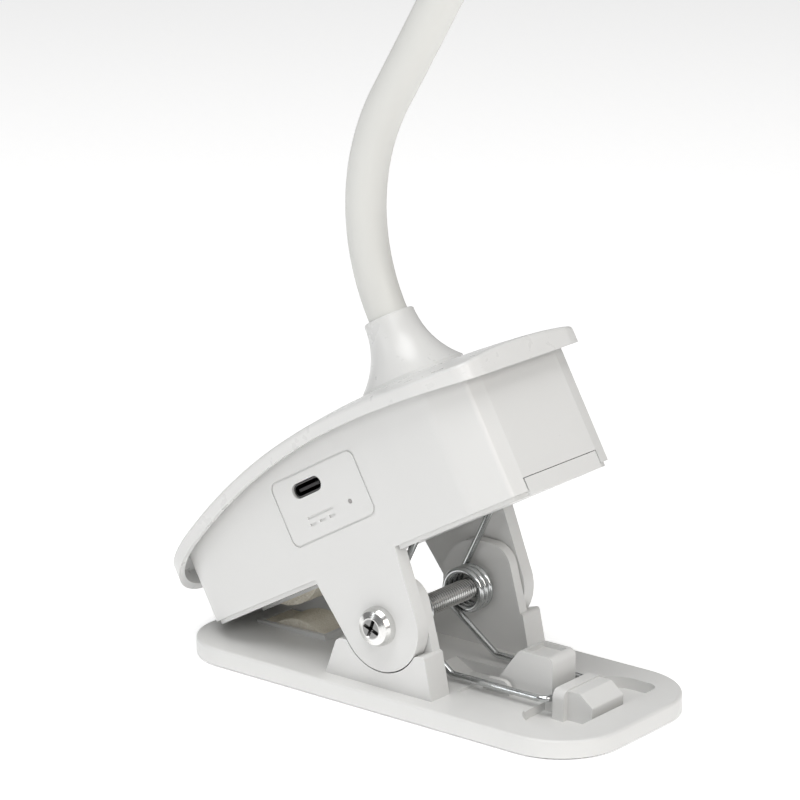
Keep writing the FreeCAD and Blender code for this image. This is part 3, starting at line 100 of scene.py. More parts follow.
# %% Surround
SURROUND_FRONT = 0.24
SURROUND_BACK = 0.20
SURROUND_ELEVATION = math.radians(20)
SURROUND_FADE = (-0.7, 0.5)     # cosine from the bright side, at the fade's dark and bright ends


def add_surround():
    """World light that falls off from the camera's side to the far side."""
    world = bpy.data.worlds.new("studio")
    world.use_nodes = True
    tree = world.node_tree
    place = tree.nodes.new("ShaderNodeTexCoord")
    facing = tree.nodes.new("ShaderNodeVectorMath")
    facing.operation = "DOT_PRODUCT"
    facing.inputs[1].default_value = direction(CAMERA_AZIMUTH, SURROUND_ELEVATION)
    strength = tree.nodes.new("ShaderNodeMapRange")
    strength.inputs["From Min"].default_value = SURROUND_FADE[0]
    strength.inputs["From Max"].default_value = SURROUND_FADE[1]
    strength.inputs["To Min"].default_value = SURROUND_BACK
    strength.inputs["To Max"].default_value = SURROUND_FRONT
    tree.links.new(place.outputs["Generated"], facing.inputs[0])
    tree.links.new(facing.outputs["Value"], strength.inputs["Value"])
    tree.links.new(strength.outputs["Result"], tree.nodes["Background"].inputs["Strength"])
    tree.nodes["Background"].inputs["Color"].default_value = (1.0, 1.0, 1.0, 1.0)
    scene.world = world


add_surround()
scene.view_settings.view_transform = "Standard"
print("surround from", SURROUND_BACK, "to", SURROUND_FRONT)

# %% [markdown]
# ### Soft boxes
# A soft box is a lamp behind a white cloth, and a wide one gives soft edges to its highlights. The
# large one overhead does most of the work. A warm key lights the tail end, a narrow cool strip draws
# a line down the left, and a front box lifts the side that faces the camera.

# %% Soft boxes
SOFT_BOXES = {
    # name: azimuth, elevation (degrees), distance, width, height, power in watts, colour
    "key_box": (80, 26, 1.2, 0.5, 0.7, 3.3, (1.0, 0.955, 0.90)),
    "top_box": (10, 74, 1.3, 0.9, 0.9, 11.6, (1.0, 1.0, 1.0)),
    "left_strip": (-32, 20, 1.1, 0.07, 0.7, 0.7, (0.95, 0.98, 1.0)),
    "front_box": (42, 34, 1.5, 0.7, 0.4, 3.2, (1.0, 1.0, 1.0)),
}


def add_soft_box(name, azimuth, elevation, distance, width, height, power, colour):
    """A rectangular area light that faces the clip."""
    lamp = bpy.data.lights.new(name, "AREA")
    lamp.shape = "RECTANGLE"
    lamp.size, lamp.size_y = width, height
    lamp.energy, lamp.color = power, colour
    away = direction(math.radians(azimuth), math.radians(elevation))
    place_facing(bpy.data.objects.new(name, lamp), away, distance)


for name, setup in SOFT_BOXES.items():
    add_soft_box(name, *setup)
print("soft boxes:", ", ".join(SOFT_BOXES))


# %% [markdown]
# ## Finishes as node groups
# A mould, a plating bath and a rubber mix each leave their own pattern on every part they make. Each
# pattern is one node group with named inputs, so that several materials can use it with their own
# values. The noise is in object space, which gives every grain its true size without an image.

# %% Helpers for node groups
NOISE_SPREAD = (0.3, 0.7)       # nearly all noise values lie between these


class Group:
    """A shader node group with named inputs and outputs."""

    def __init__(self, name, inputs, outputs):
        self.tree = bpy.data.node_groups.new(name, "ShaderNodeTree")
        for socket, value in inputs.items():
            kind = "NodeSocketColor" if isinstance(value, tuple) else "NodeSocketFloat"
            made = self.tree.interface.new_socket(socket, in_out="INPUT", socket_type=kind)
            made.default_value = (*value, 1.0) if isinstance(value, tuple) else value
        for socket, kind in outputs.items():
            self.tree.interface.new_socket(socket, in_out="OUTPUT", socket_type=kind)
        self.source = self.tree.nodes.new("NodeGroupInput").outputs
        self.result = self.tree.nodes.new("NodeGroupOutput").inputs
        self.place = self.tree.nodes.new("ShaderNodeTexCoord").outputs["Object"]

    def add(self, kind, inputs=(), **settings):
        """Add a node; inputs maps a socket to a number, a tuple or another node's output."""
        node = self.tree.nodes.new(kind)
        for key, value in settings.items():
            setattr(node, key, value)
        for socket, value in dict(inputs).items():
            if isinstance(value, bpy.types.NodeSocket):
                self.tree.links.new(value, node.inputs[socket])
            else:
                node.inputs[socket].default_value = value
        return node

    def noise(self, scale, detail=3.0, place=None):
        """Noise from 0 to 1; scale is the number of features in a metre."""
        inputs = {"Vector": place or self.place, "Scale": scale, "Detail": detail}
        return self.add("ShaderNodeTexNoise", inputs).outputs["Fac"]

    def math(self, operation, a, b=0.0):
        return self.add("ShaderNodeMath", {0: a, 1: b}, operation=operation).outputs["Value"]

    def between(self, value, low, high):
        """Spread a noise value over low to high."""
        inputs = {"Value": value, "From Min": NOISE_SPREAD[0], "From Max": NOISE_SPREAD[1],
                  "To Min": low, "To Max": high}
        return self.add("ShaderNodeMapRange", inputs).outputs["Result"]

    def mix(self, factor, a, b, blend="MIX"):
        """Mix two colours."""
        node = self.add("ShaderNodeMix", data_type="RGBA", blend_type=blend)
        for socket, value in ((0, factor), (6, a), (7, b)):
            if isinstance(value, bpy.types.NodeSocket):
                self.tree.links.new(value, node.inputs[socket])
            else:
                node.inputs[socket].default_value = value
        return node.outputs[2]

    def put(self, **outputs):
        for socket, value in outputs.items():
            self.tree.links.new(value, self.result[socket])


SKIN_OUTPUTS = {"Colour": "NodeSocketColor", "Roughness": "NodeSocketFloat",
                "Height": "NodeSocketFloat"}
print("group helpers ready")

# %% [markdown]
# ### Moulded plastic
# A white moulding is nearly even in colour. What shows that it is plastic is its gloss: slow waves
# where the part shrank, and a very fine texture from the mould's steel. Both are noise, at two
# sizes, joined into one height. A few dust specks only darken the colour.

# %% Moulded plastic
CLOUD_SCALE, GLOSS_SCALE, WAVE_SCALE, GRAIN_SCALE = 60.0, 250.0, 420.0, 9000.0
GLOSS_SPREAD = (0.85, 1.2)
SPECK_CELLS, SPECK_SIZE = 170.0, 0.022          # cells in a metre, and a speck's share of a cell
SPECK_CHANCE_SCALE, SPECK_CHANCE = 300.0, 0.56  # a speck shows where this noise is above the chance
SPECK_COLOUR = (0.28, 0.25, 0.22, 1.0)


def build_moulded_skin():
    group = Group("moulded_skin", {"Colour": (0.7, 0.7, 0.7), "Roughness": 0.3, "Cloud": 0.012,
                                   "Wave": 0.5, "Grain": 0.1, "Specks": 0.5}, SKIN_OUTPUTS)
    source = group.source
    cloud = group.between(group.noise(CLOUD_SCALE, 4.0), 0.0, 1.0)
    shade = group.math("SUBTRACT", 1.0, group.math("MULTIPLY", cloud, source["Cloud"]))
    clouded = group.mix(1.0, source["Colour"], shade, "MULTIPLY")
    cells = group.add("ShaderNodeTexVoronoi",
                      {"Vector": group.place, "Scale": SPECK_CELLS, "Randomness": 1.0})
    near = group.math("LESS_THAN", cells.outputs["Distance"], SPECK_SIZE)
    lucky = group.math("GREATER_THAN", group.noise(SPECK_CHANCE_SCALE, 1.0), SPECK_CHANCE)
    speck = group.math("MULTIPLY", group.math("MULTIPLY", near, lucky), source["Specks"])
    waves = group.math("MULTIPLY", group.noise(WAVE_SCALE, 2.0), source["Wave"])
    grain = group.math("MULTIPLY", group.noise(GRAIN_SCALE, 2.0), source["Grain"])
    patchy = group.between(group.noise(GLOSS_SCALE, 4.0), *GLOSS_SPREAD)
    gloss = group.math("MULTIPLY", patchy, source["Roughness"])
    group.put(Colour=group.mix(speck, clouded, SPECK_COLOUR), Roughness=gloss,
              Height=group.math("ADD", waves, grain))
    return group.tree


moulded_skin = build_moulded_skin()
print("group:", moulded_skin.name)

# %% [markdown]
# ### Drawn and plated metal
# Spring wire, screws and the gooseneck's steel are plated. Plating follows the die marks beneath
# it and dulls in patches, so the group varies the colour and the gloss together.

# %% Plated metal
TARNISH_SCALE, FINE_TARNISH_SCALE, DIE_MARK_SCALE = 450.0, 5000.0, 7000.0
PLATED_INPUTS = {"Colour": (0.6, 0.6, 0.6), "Tarnish": (0.35, 0.33, 0.3), "Amount": 0.3,
                 "Roughness": 0.2, "Grain": 0.4}


def build_plated_skin():
    group = Group("plated_skin", PLATED_INPUTS, SKIN_OUTPUTS)
    source = group.source
    patches = group.between(group.noise(TARNISH_SCALE, 5.0), 0.0, 1.0)
    fine = group.between(group.noise(FINE_TARNISH_SCALE, 3.0), 0.0, 1.0)
    dull = group.math("MULTIPLY", group.math("MULTIPLY", patches, fine), source["Amount"])
    rough = group.math("ADD", source["Roughness"], group.math("MULTIPLY", dull, 0.5))
    group.put(Colour=group.mix(dull, source["Colour"], source["Tarnish"]), Roughness=rough,
              Height=group.math("MULTIPLY", group.noise(DIE_MARK_SCALE, 3.0), source["Grain"]))
    return group.tree


plated_skin = build_plated_skin()
print("group:", plated_skin.name)

# %% [markdown]
# ### Threaded metal
# A thread shows as fine dark rings, because shadow gathers at its root; here that shade is painted
# into the colour. The distance from the screw's axis tells root from crest. So this group places the
# plated group, and darkens its colour with painted shade where that distance is small.

# %% Threaded metal
THREAD_ROOT = 0.0021
THREAD_CREST = 0.0025
# colour of the painted shade at the thread's root
ROOT_SHADE_BLACK = (0.10, 0.10, 0.10, 1.0)
jaw_hinge = frame["joints"][0]
pivot = Vector(jaw_hinge["pos_m"])


def build_thread_skin():
    group = Group("thread_skin", {**PLATED_INPUTS, "Root": 0.75}, SKIN_OUTPUTS)
    source = group.source
    plated = group.add("ShaderNodeGroup")
    plated.node_tree = plated_skin
    for socket in PLATED_INPUTS:
        group.tree.links.new(source[socket], plated.inputs[socket])
    arm = group.add("ShaderNodeVectorMath", {0: group.place, 1: tuple(pivot)}, operation="SUBTRACT")
    flat = group.add("ShaderNodeVectorMath", {0: arm.outputs["Vector"], 1: (1, 0, 1)},
                     operation="MULTIPLY")
    reach = group.add("ShaderNodeVectorMath", {0: flat.outputs["Vector"]}, operation="LENGTH")
    inputs = {"Value": reach.outputs["Value"], "From Min": THREAD_ROOT, "From Max": THREAD_CREST,
              "To Min": 1.0, "To Max": 0.0}
    root = group.add("ShaderNodeMapRange", inputs).outputs["Result"]
    # painted shade: the colour darkens towards the thread's root, by the Root amount
    root_shade = group.math("MULTIPLY", root, source["Root"])
    group.put(Colour=group.mix(root_shade, plated.outputs["Colour"], ROOT_SHADE_BLACK),
              Roughness=plated.outputs["Roughness"], Height=plated.outputs["Height"])
    return group.tree


thread_skin = build_thread_skin()
print("group:", thread_skin.name)

# %% [markdown]
# ### Filled rubber
# The jaw pads are rubber filled with pale granules, and the sole is plain dark rubber. Cells of two
# shades with a soft noise over them look like both, with different colours and grain sizes.

# %% Filled rubber
BLOTCH_SCALE = 500.0


def build_rubber_skin():
    group = Group("rubber_skin", {"Colour": (0.4, 0.36, 0.3), "Granule": (0.55, 0.5, 0.4),
                                  "Scale": 2500.0, "Roughness": 0.85, "Relief": 1.0}, SKIN_OUTPUTS)
    source = group.source
    grains = group.add("ShaderNodeTexVoronoi", {"Vector": group.place, "Scale": source["Scale"]})
    shade = group.between(group.noise(source["Scale"], 4.0), 0.0, 1.0)
    blotch = group.between(group.noise(BLOTCH_SCALE, 3.0), 0.0, 0.5)
    mixed = group.mix(shade, source["Colour"], source["Granule"])
    rough = group.math("MULTIPLY", group.between(shade, 0.9, 1.08), source["Roughness"])
    lumps = group.math("ADD", grains.outputs["Distance"], shade)
    relief = group.math("MULTIPLY", lumps, source["Relief"])
    group.put(Colour=group.mix(blotch, mixed, source["Colour"]), Roughness=rough, Height=relief)
    return group.tree


rubber_skin = build_rubber_skin()
print("group:", rubber_skin.name)


# %% [markdown]
# ## Materials
# Each material holds its own Principled shader. A group feeds the colour, roughness and bump, and
# every value that is the same all over is set on the shader itself.

# %% Material helper
def finish(name, skin, skin_values, bump_depth, **shader_values):
    """A material whose look comes from a skin group; bump_depth is in metres."""
    material = bpy.data.materials.new(name)
    material.use_nodes = True
    tree = material.node_tree
    shader = tree.nodes["Principled BSDF"]
    pattern = tree.nodes.new("ShaderNodeGroup")
    pattern.node_tree = skin
    for socket, value in skin_values.items():
        pattern.inputs[socket].default_value = (*value, 1.0) if isinstance(value, tuple) else value
    for socket, value in shader_values.items():
        shader.inputs[socket.replace("_", " ")].default_value = value
    bump = tree.nodes.new("ShaderNodeBump")
    bump.inputs["Distance"].default_value = bump_depth
    tree.links.new(pattern.outputs["Colour"], shader.inputs["Base Color"])
    tree.links.new(pattern.outputs["Roughness"], shader.inputs["Roughness"])
    tree.links.new(pattern.outputs["Height"], bump.inputs["Height"])
    tree.links.new(bump.outputs["Normal"], shader.inputs["Normal"])
    return material


print("material helper ready")

# %% [markdown]
# ### White plastics
# The clip's mouldings are a neutral white with a middling gloss. The lid is a little glossier and
# has no specks, and the arm's sleeve is softer, warmer and more matt. The opal window lets light
# into the plastic.

# %% White plastics
CLIP_WHITE = (0.69, 0.69, 0.68)
SLEEVE_WHITE = (0.67, 0.67, 0.645)

housing_white = finish(
    "housing_white", moulded_skin, {"Colour": CLIP_WHITE, "Roughness": 0.34}, 0.000012, IOR=1.5)
lid_white = finish(
    "lid_white", moulded_skin,
    {"Colour": CLIP_WHITE, "Roughness": 0.30, "Wave": 0.3, "Grain": 0.02, "Specks": 0.0},
    0.000003, Coat_Weight=0.1, Coat_Roughness=0.16)
sleeve_white = finish(
    "sleeve_white", moulded_skin,
    {"Colour": SLEEVE_WHITE, "Roughness": 0.4, "Grain": 0.25, "Specks": 0.0}, 0.000015)
touch_gloss = finish(
    "touch_gloss", moulded_skin, {"Colour": (0.74, 0.74, 0.74), "Roughness": 0.12, "Grain": 0.0},
    0.000006, Coat_Weight=0.5, Coat_Roughness=0.04)
touch_print = finish(
    "touch_print", moulded_skin, {"Colour": (0.33, 0.34, 0.36), "Roughness": 0.4}, 0.000004)
opal_window = finish(
    "opal_window", moulded_skin, {"Colour": (0.86, 0.86, 0.83), "Roughness": 0.45},
    0.000008, Subsurface_Weight=0.3, Subsurface_Scale=0.002)
light_pipe = finish(
    "light_pipe", moulded_skin, {"Colour": (0.30, 0.29, 0.28), "Roughness": 0.25, "Specks": 0.0},
    0.000004, Coat_Weight=0.5)
print("white plastics made")

# %% [markdown]
# ### Metals
# The spring is nickel-plated wire, greyer and smoother than the zinc-plated screws. The gooseneck's
# links are bare steel, and the heat plate in the head is aluminium.

# %% Metals
spring_wire = finish(
    "spring_wire", plated_skin, {"Colour": (0.60, 0.615, 0.62), "Amount": 0.30, "Roughness": 0.13},
    0.000002, Metallic=1.0)
zinc_screw = finish(
    "zinc_screw", thread_skin, {"Colour": (0.74, 0.74, 0.73), "Amount": 0.3, "Roughness": 0.18},
    0.000003, Metallic=1.0)
small_screw = finish(
    "small_screw", plated_skin, {"Colour": (0.45, 0.45, 0.45), "Roughness": 0.3},
    0.000005, Metallic=1.0)
port_shell = finish(
    "port_shell", plated_skin,
    {"Colour": (0.10, 0.10, 0.10), "Tarnish": (0.05, 0.05, 0.05), "Roughness": 0.3},
    0.000002, Metallic=1.0)
link_steel = finish(
    "link_steel", plated_skin, {"Colour": (0.48, 0.48, 0.48), "Amount": 0.6, "Roughness": 0.34},
    0.00001, Metallic=1.0)
heat_plate = finish(
    "heat_plate", plated_skin, {"Colour": (0.75, 0.75, 0.76), "Roughness": 0.38},
    0.000008, Metallic=1.0)
print("metals made")

# %% [markdown]
# ### Rubbers and electronics
# The pads are sandy beige and the sole is almost black. The parts inside the clip are coloured as
# such parts usually are.

# %% Rubbers and electronics
pad_rubber = finish(
    "pad_rubber", rubber_skin, {"Colour": (0.74, 0.69, 0.58), "Granule": (0.86, 0.83, 0.74)},
    0.00012, Specular_IOR_Level=0.3)
sole_rubber = finish(
    "sole_rubber", rubber_skin,
    {"Colour": (0.03, 0.03, 0.031), "Granule": (0.06, 0.06, 0.06), "Scale": 1500.0}, 0.00008)
cell_wrap = finish(
    "cell_wrap", moulded_skin, {"Colour": (0.03, 0.20, 0.42), "Roughness": 0.3}, 0.00002)
board_green = finish(
    "board_green", moulded_skin, {"Colour": (0.02, 0.18, 0.08), "Cloud": 0.3, "Grain": 0.5}, 0.00002)
board_white = finish(
    "board_white", moulded_skin, {"Colour": (0.82, 0.82, 0.81), "Roughness": 0.45}, 0.00001)
led_phosphor = finish(
    "led_phosphor", moulded_skin, {"Colour": (0.85, 0.68, 0.22), "Cloud": 0.1}, 0.00001)
port_black = finish(
    "port_black", moulded_skin, {"Colour": (0.015, 0.015, 0.016), "Roughness": 0.45}, 0.000006)
print("rubbers and electronics made")

# %% [markdown]
# ### Dress the CAD nodes
# Each node is one real piece, and each gets one material. A name's beginning is enough to find the
# material, because pieces of one kind share it.

# %% Dress the nodes
FINISH_BY_NAME = {
    "base_plate": housing_white, "housing_shell": housing_white, "belly_cover": housing_white,
    "head_bezel": housing_white, "top_lid": lid_white, "head_back_shell": lid_white,
    "touch_pad": touch_gloss, "base_sole": sole_rubber, "lower_jaw_pad": pad_rubber,
    "upper_jaw_pad": pad_rubber, "torsion_spring": spring_wire, "touch_spring": spring_wire,
    "pivot_": zinc_screw, "usb_c_shell": port_shell, "usb_c_tongue": port_black,
    "gooseneck_sleeve": sleeve_white, "gooseneck_": link_steel, "head_socket": link_steel,
    "battery_cell": cell_wrap, "status_light": light_pipe, "head_diffuser": opal_window,
    "head_heat_plate": heat_plate, "head_led_board": board_white, "head_leds": led_phosphor,
    "circuit_board": board_green, "belly_screw": small_screw, "board_screw": small_screw,
    "head_screw": small_screw,
}


def dress(name):
    """Give a node the finish whose key starts its name."""
    key = next(key for key in FINISH_BY_NAME if name.startswith(key))
    nodes[name].data.materials.clear()
    nodes[name].data.materials.append(FINISH_BY_NAME[key])
    return key


print("dressed", len([dress(name) for name in nodes]), "nodes")


# %% [markdown]
# ## Round wire and tube
# The arm's sleeve and the spring are both a circle carried along a line. The ring at each point is
# square to the line there. Its first direction is carried along without twist, so neighbouring
# rings line up and the surface stays smooth.

# %% Tube helper
def ways_along(points):
    """Unit direction of a line at each of its points."""
    last = len(points) - 1
    return [(points[min(k + 1, last)] - points[max(k - 1, 0)]).normalized() for k in range(last + 1)]


def add_tube(name, points, radius, sides, finish_used, ways=None):
    """A closed tube of the given radius along points."""
    ways = ways or ways_along(points)
    across = Vector((0, 1, 0)) if abs(ways[0].y) < 0.9 else Vector((1, 0, 0))
    corners, faces = [], []
    for point, way in zip(points, ways):
        across = (across - way * across.dot(way)).normalized()
        other = way.cross(across)
        for side in range(sides):
            turn = 2 * math.pi * side / sides
            corners.append(tuple(point + (across * math.cos(turn) + other * math.sin(turn)) * radius))
    for ring in range(len(points) - 1):
        for side in range(sides):
            a, b = ring * sides + side, ring * sides + (side + 1) % sides
            faces.append((a, b, b + sides, a + sides))
    faces.append(tuple(reversed(range(sides))))
    faces.append(tuple(range((len(points) - 1) * sides, len(points) * sides)))
    tube = add_piece(name, corners, faces, finish_used, flat_faces=2)
    last_ring = (len(points) - 1) * sides
    for edge in tube.data.edges:
        low, high = sorted(edge.vertices)
        edge.use_edge_sharp = high < sides or low >= last_ring
    return tube


def add_piece(name, corners, faces, finish_used, flat_faces=0):
    """A smooth mesh object; its last flat_faces faces are flat, with sharp edges."""
    mesh = bpy.data.meshes.new(name)
    mesh.from_pydata(corners, [], faces)
    smooth = [True] * (len(faces) - flat_faces) + [False] * flat_faces
    mesh.polygons.foreach_set("use_smooth", smooth)
    mesh.materials.append(finish_used)
    piece = bpy.data.objects.new(name, mesh)
    scene.collection.objects.link(piece)
    return piece


print("tube helper ready")

# %% [markdown]
# ## The gooseneck's sleeve
# On the real arm one silicone tube covers a flexible core. A flexible tube can't be a single piece
# here, because a piece can bend over one joint only. Here the sleeve is cut half-way between
# joints, into one piece for each joint. The cuts share the same ring of corners.

# %% Line of the arm
JAW_PITCH = math.radians(29.5)
SLEEVE_RADIUS = 0.0047
NECK_DEPTH = 0.009
COLLAR_DEPTH = 0.004
STEP = 0.001
RIM_DEPTH = 0.0001              # corners this near the top are on the neck's rim
LEAST_TURN = 1e-4               # a smaller turn counts as straight
JAW_ALONG = Vector((math.cos(JAW_PITCH), 0, math.sin(JAW_PITCH)))
JAW_UP = Vector((-math.sin(JAW_PITCH), 0, math.cos(JAW_PITCH)))
SIDEWAYS = Vector((0, 1, 0))
bends = [joint for joint in frame["joints"] if joint is not jaw_hinge]


def neck_mouth():
    """Middle of the neck's mouth, from the lid's highest corners along the neck."""
    heights = [(corner.co.dot(JAW_UP), corner.co) for corner in nodes["top_lid"].data.vertices]
    top = max(height for height, _ in heights)
    rim = [co for height, co in heights if height > top - RIM_DEPTH]
    return sum(rim, Vector()) / len(rim)


def arc_to(start, way, end):
    """Points and directions on the arc that leaves start along way and reaches end."""
    chord = end - start
    turn = 2 * math.atan2(way.cross(chord).dot(SIDEWAYS), way.dot(chord))
    bend = abs(turn) > LEAST_TURN
    length = chord.length * (turn / 2) / math.sin(turn / 2) if bend else chord.length
    count = 2 * max(2, round(length / STEP / 2))
    points, ways = [], []
    for k in range(count):
        share = k / count
        half = Matrix.Rotation(turn * share / 2, 3, "Y") @ way
        reach = 2 * length / turn * math.sin(turn * share / 2) if bend else length * share
        points.append(start + half * reach)
        ways.append(Matrix.Rotation(turn * share, 3, "Y") @ way)
    return points, ways, Matrix.Rotation(turn, 3, "Y") @ way


def straight_run(start, way, length):
    count = max(1, round(length / STEP))
    return [start + way * (length * k / count) for k in range(count)], [way] * count


def arm_runs():
    """The arm's line, as runs of points and directions between its joints."""
    way, at = JAW_UP, neck_mouth()
    points, ways = straight_run(at - way * NECK_DEPTH, way, NECK_DEPTH)
    runs = []
    for bend in bends:
        joint = Vector(bend["pos_m"])
        run_points, run_ways, way = arc_to(at, way, joint)
        runs.append((points + run_points, ways + run_ways))
        points, ways, at = [], [], joint
    runs.append(straight_run(at, way, COLLAR_DEPTH))
    return runs


runs = arm_runs()
print("arm line:", len(runs), "runs,", sum(len(points) for points, _ in runs), "points")

# %% [markdown]
# ### Pieces of sleeve
# Silicone bends in a smooth curve, not in a corner. So each piece follows the smooth arcs of the
# arm's line on either side of its joint.

# %% Sleeve pieces
SLEEVE_SIDES = 48


def add_sleeve(index):
    """The piece of sleeve that bends over one joint."""
    bend, before, after = bends[index], runs[index], runs[index + 1]
    first, last = index == 0, index == len(bends) - 1
    start = 0 if first else len(before[0]) // 2
    stop = len(after[0]) if last else len(after[0]) // 2 + 1
    points = before[0][start:] + after[0][:stop]
    ways = before[1][start:] + after[1][:stop]
    piece = add_tube("sleeve_%d" % (index + 1), points, SLEEVE_RADIUS, SLEEVE_SIDES,
                     sleeve_white, ways)
    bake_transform(piece)
    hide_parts("gooseneck_sleeve_%d" % index)
    return piece


sleeves = [add_sleeve(index) for index in range(len(bends))]
print("sleeve pieces:", len(sleeves))

# %% [markdown]
# ## The torsion spring
# The real spring is one wire: a crossbar under the base's hook, two legs, two coils round the screw
# and two ends inside the upper jaw. It is drawn as two mirrored halves.

# %% Route of the wire
WIRE_RADIUS = 0.0008
COIL_RADIUS = 0.0048
COIL_PITCH = 0.00172
COIL_TURNS = 3
LEG_Y = 0.0083
LEG_Z = 0.00615
LEG_BEND_X = 0.0113
CROSSBAR_X = 0.0377
WIRE_BEND = 0.0024
WIRE_STEP = 0.001
BEND_STEPS = 12
COIL_STEPS = 220
BELLY_ENTRY = (0.0121, 0.014)
UPPER_LEG_INSIDE = 0.004


def leaving_angle(x, z, side):
    """Where on the coil a straight wire to (x, z) leaves it."""
    away = Vector((x - pivot.x, z - pivot.z))
    return math.atan2(away.y, away.x) + side * math.acos(COIL_RADIUS / away.length)


def wire_run(start, end):
    count = max(1, round((end - start).length / WIRE_STEP))
    return [start.lerp(end, k / count) for k in range(count)]


def bent_wire(corners):
    """Points along straight wire with a round bend at each inner corner."""
    route, start = [], corners[0]
    for corner, after in zip(corners[1:-1], corners[2:]):
        back, ahead = (start - corner).normalized(), (after - corner).normalized()
        half = back.angle(ahead) / 2
        centre = corner + (back + ahead).normalized() * (WIRE_BEND / math.sin(half))
        first = corner + back * (WIRE_BEND / math.tan(half))
        last = corner + ahead * (WIRE_BEND / math.tan(half))
        route += wire_run(start, first)
        arm, other = (first - centre).normalized(), (last - centre).normalized()
        route += [centre + arm.slerp(other, k / BEND_STEPS) * WIRE_BEND for k in range(BEND_STEPS)]
        start = last
    return route + wire_run(start, corners[-1])


def spring_route(side):
    """Centre line of the half of the spring at side -1 or +1."""
    u, w = BELLY_ENTRY
    entry = pivot + JAW_ALONG * u + JAW_UP * w
    lower = leaving_angle(LEG_BEND_X, LEG_Z, -1)
    upper = leaving_angle(entry.x, entry.z, 1)
    sweep = 2 * math.pi * COIL_TURNS + (lower - upper) % (2 * math.pi)

    def on_coil(share):
        turn = lower - sweep * share
        y = LEG_Y + COIL_PITCH * sweep * share / (2 * math.pi)
        return Vector((pivot.x + COIL_RADIUS * math.cos(turn), y,
                       pivot.z + COIL_RADIUS * math.sin(turn)))

    corners = [Vector((CROSSBAR_X, 0, LEG_Z)), Vector((CROSSBAR_X, LEG_Y, LEG_Z)),
               Vector((LEG_BEND_X, LEG_Y, LEG_Z)), on_coil(0)]
    coil_end = on_coil(1)
    leg = Vector((entry.x, coil_end.y, entry.z)) - coil_end
    inside = coil_end + leg * (1 + UPPER_LEG_INSIDE / leg.length)
    coil = [on_coil(k / COIL_STEPS) for k in range(COIL_STEPS)]
    route = bent_wire(corners) + coil + wire_run(coil_end, inside)
    return [Vector((point.x, point.y * side, point.z)) for point in route]


print("spring route:", len(spring_route(1)), "points in each half")

# %% [markdown]
# ### Halves of the spring
# Each half is one tube of round wire along its route, and the CAD spring is hidden in their place.

# %% Spring halves
WIRE_SIDES = 24


def add_spring_half(name, side):
    route = spring_route(side)
    half = add_tube(name, route, WIRE_RADIUS, WIRE_SIDES, spring_wire)
    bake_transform(half)
    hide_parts("torsion_spring")
    return half


spring = [add_spring_half("spring_near", -1), add_spring_half("spring_far", 1)]
print("spring halves:", [half.name for half in spring])

# %% [markdown]
# ## Jaw pads
# The pads are soft granular rubber, moulded with an arched face that gives under a shelf. The CAD
# solid has their shape but knife-clean edges. A voxel remesh turns it into a fine even net, and
# noise then lifts and sinks each corner a little, which leaves crumbly edges as on the real pads.

# %% Pads
VOXEL = 0.00028
CRUMBLE = 0.00009
GRANULE = 0.0011
FINE_GRANULE = GRANULE * 0.4
FINE_SHARE = 0.5
SINK = 0.6                      # keeps the crumbled skin inside the solid


def add_pad(name, node, body):
    """A soft copy of a pad's CAD solid with a crumbly skin."""
    pad = bpy.data.objects.new(name, nodes[node].data.copy())
    scene.collection.objects.link(pad)
    pad.matrix_world = nodes[node].matrix_world
    net = pad.modifiers.new("net", "REMESH")
    net.mode, net.voxel_size, net.use_smooth_shade = "VOXEL", VOXEL, True
    bpy.context.view_layer.update()
    graph = bpy.context.evaluated_depsgraph_get()
    soft = bpy.data.meshes.new_from_object(pad.evaluated_get(graph))
    pad.modifiers.clear()
    pad.data = soft
    for corner in soft.vertices:
        coarse, fine = noise.noise(corner.co / GRANULE), noise.noise(corner.co / FINE_GRANULE)
        corner.co += corner.normal * (CRUMBLE * (coarse + FINE_SHARE * fine - SINK))
    soft.materials.clear()
    soft.materials.append(pad_rubber)
    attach(pad, body)
    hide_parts(node)
    print(name, "has", len(soft.polygons), "faces")


add_pad("soft_lower_pad", "lower_jaw_pad", "base")
add_pad("soft_upper_pad", "upper_jaw_pad", "upper_jaw")

# %% [markdown]
# ## The mark on the touch pad
# A touch switch needs a sign of where to press. A plain ring with a bar is the usual one for on and
# off. It is a flat strip, laid on the pad by casting each corner down onto the pad's surface.

# %% Touch mark
MARK_RADIUS = 0.0026
MARK_WIDTH = 0.0005
MARK_GAP = math.radians(38)
MARK_LIFT = 0.00003
CAST_HEIGHT = 0.002
RING_STEPS = 48
BAR_SHARES = (0.35, 0.7, 1.05, 1.4)     # of the ring's radius


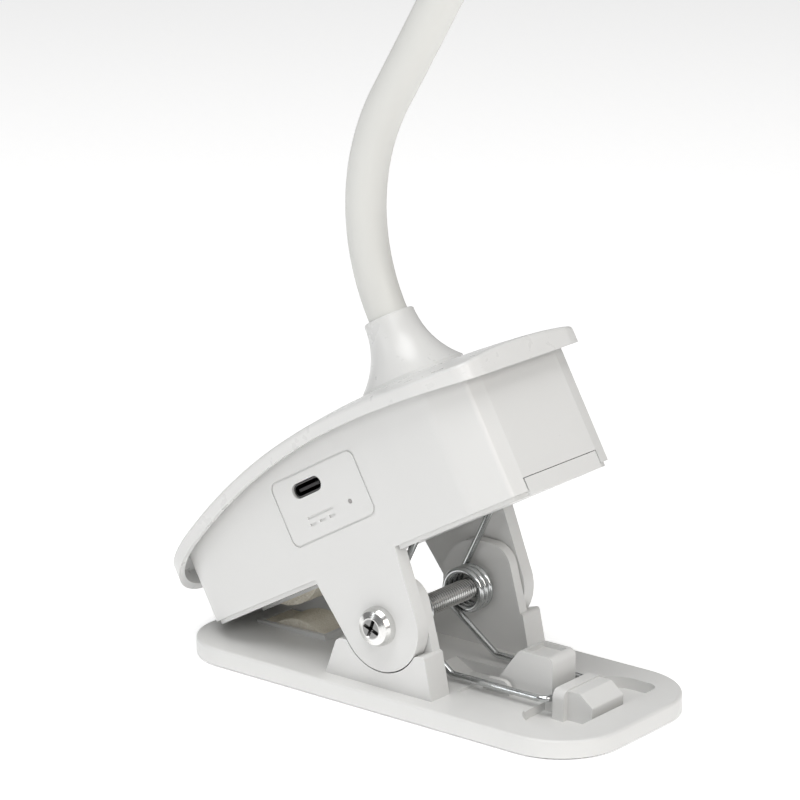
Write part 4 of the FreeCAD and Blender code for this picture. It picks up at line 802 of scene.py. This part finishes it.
def add_touch_mark():
    """A printed ring, open at one side, with a bar in its gap."""
    pad = nodes["touch_pad"]
    corners = [pad.matrix_world @ corner.co for corner in pad.data.vertices]
    surface = BVHTree.FromPolygons(corners, [list(face.vertices) for face in pad.data.polygons])
    us = [corner.dot(JAW_ALONG) for corner in corners]
    top = max(corner.dot(JAW_UP) for corner in corners)
    centre = JAW_ALONG * ((min(us) + max(us)) / 2) + JAW_UP * (top + CAST_HEIGHT)

    def laid(u, y):
        hit = surface.ray_cast(centre + JAW_ALONG * u + SIDEWAYS * y, -JAW_UP)[0]
        return tuple(hit + JAW_UP * MARK_LIFT)

    points, faces = [], []

    def strip(pairs):
        base = len(points)
        for pair in pairs:
            points.extend(laid(u, y) for u, y in pair)
        faces.extend((base + 2 * k, base + 2 * k + 1, base + 2 * k + 3, base + 2 * k + 2)
                     for k in range(len(pairs) - 1))

    inner, outer = MARK_RADIUS - MARK_WIDTH / 2, MARK_RADIUS + MARK_WIDTH / 2
    turns = [MARK_GAP + (2 * math.pi - 2 * MARK_GAP) * k / RING_STEPS for k in range(RING_STEPS + 1)]
    strip([[(r * math.cos(t), r * math.sin(t)) for r in (outer, inner)] for t in turns])
    bar = [MARK_RADIUS * share for share in BAR_SHARES]
    strip([[(u, -MARK_WIDTH / 2), (u, MARK_WIDTH / 2)] for u in bar])
    mark = add_piece("touch_mark", points, faces, touch_print)
    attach(mark, "upper_jaw")
    return mark


print("touch mark has", len(add_touch_mark().data.polygons), "faces")

# %% [markdown]
# ## Floor
# The lamp stands on a light table: a sheet of white acrylic that is lit from below. The sheet glows a
# little, which keeps it white up to the edge of the base with only a faint shadow.

# %% Floor
FLOOR_HALF = 4.0
FLOOR_GLOW = 0.42

light_table = finish(
    "light_table", moulded_skin,
    {"Colour": (0.92, 0.92, 0.92), "Roughness": 0.8, "Cloud": 0.0, "Specks": 0.0}, 0.0,
    Emission_Color=(1.0, 1.0, 1.0, 1.0), Emission_Strength=FLOOR_GLOW)
floor_corners = [(-FLOOR_HALF, -FLOOR_HALF, 0), (FLOOR_HALF, -FLOOR_HALF, 0),
                 (FLOOR_HALF, FLOOR_HALF, 0), (-FLOOR_HALF, FLOOR_HALF, 0)]
floor = add_piece("floor", floor_corners, [(0, 1, 2, 3)], light_table)
print("stage:", floor.name)
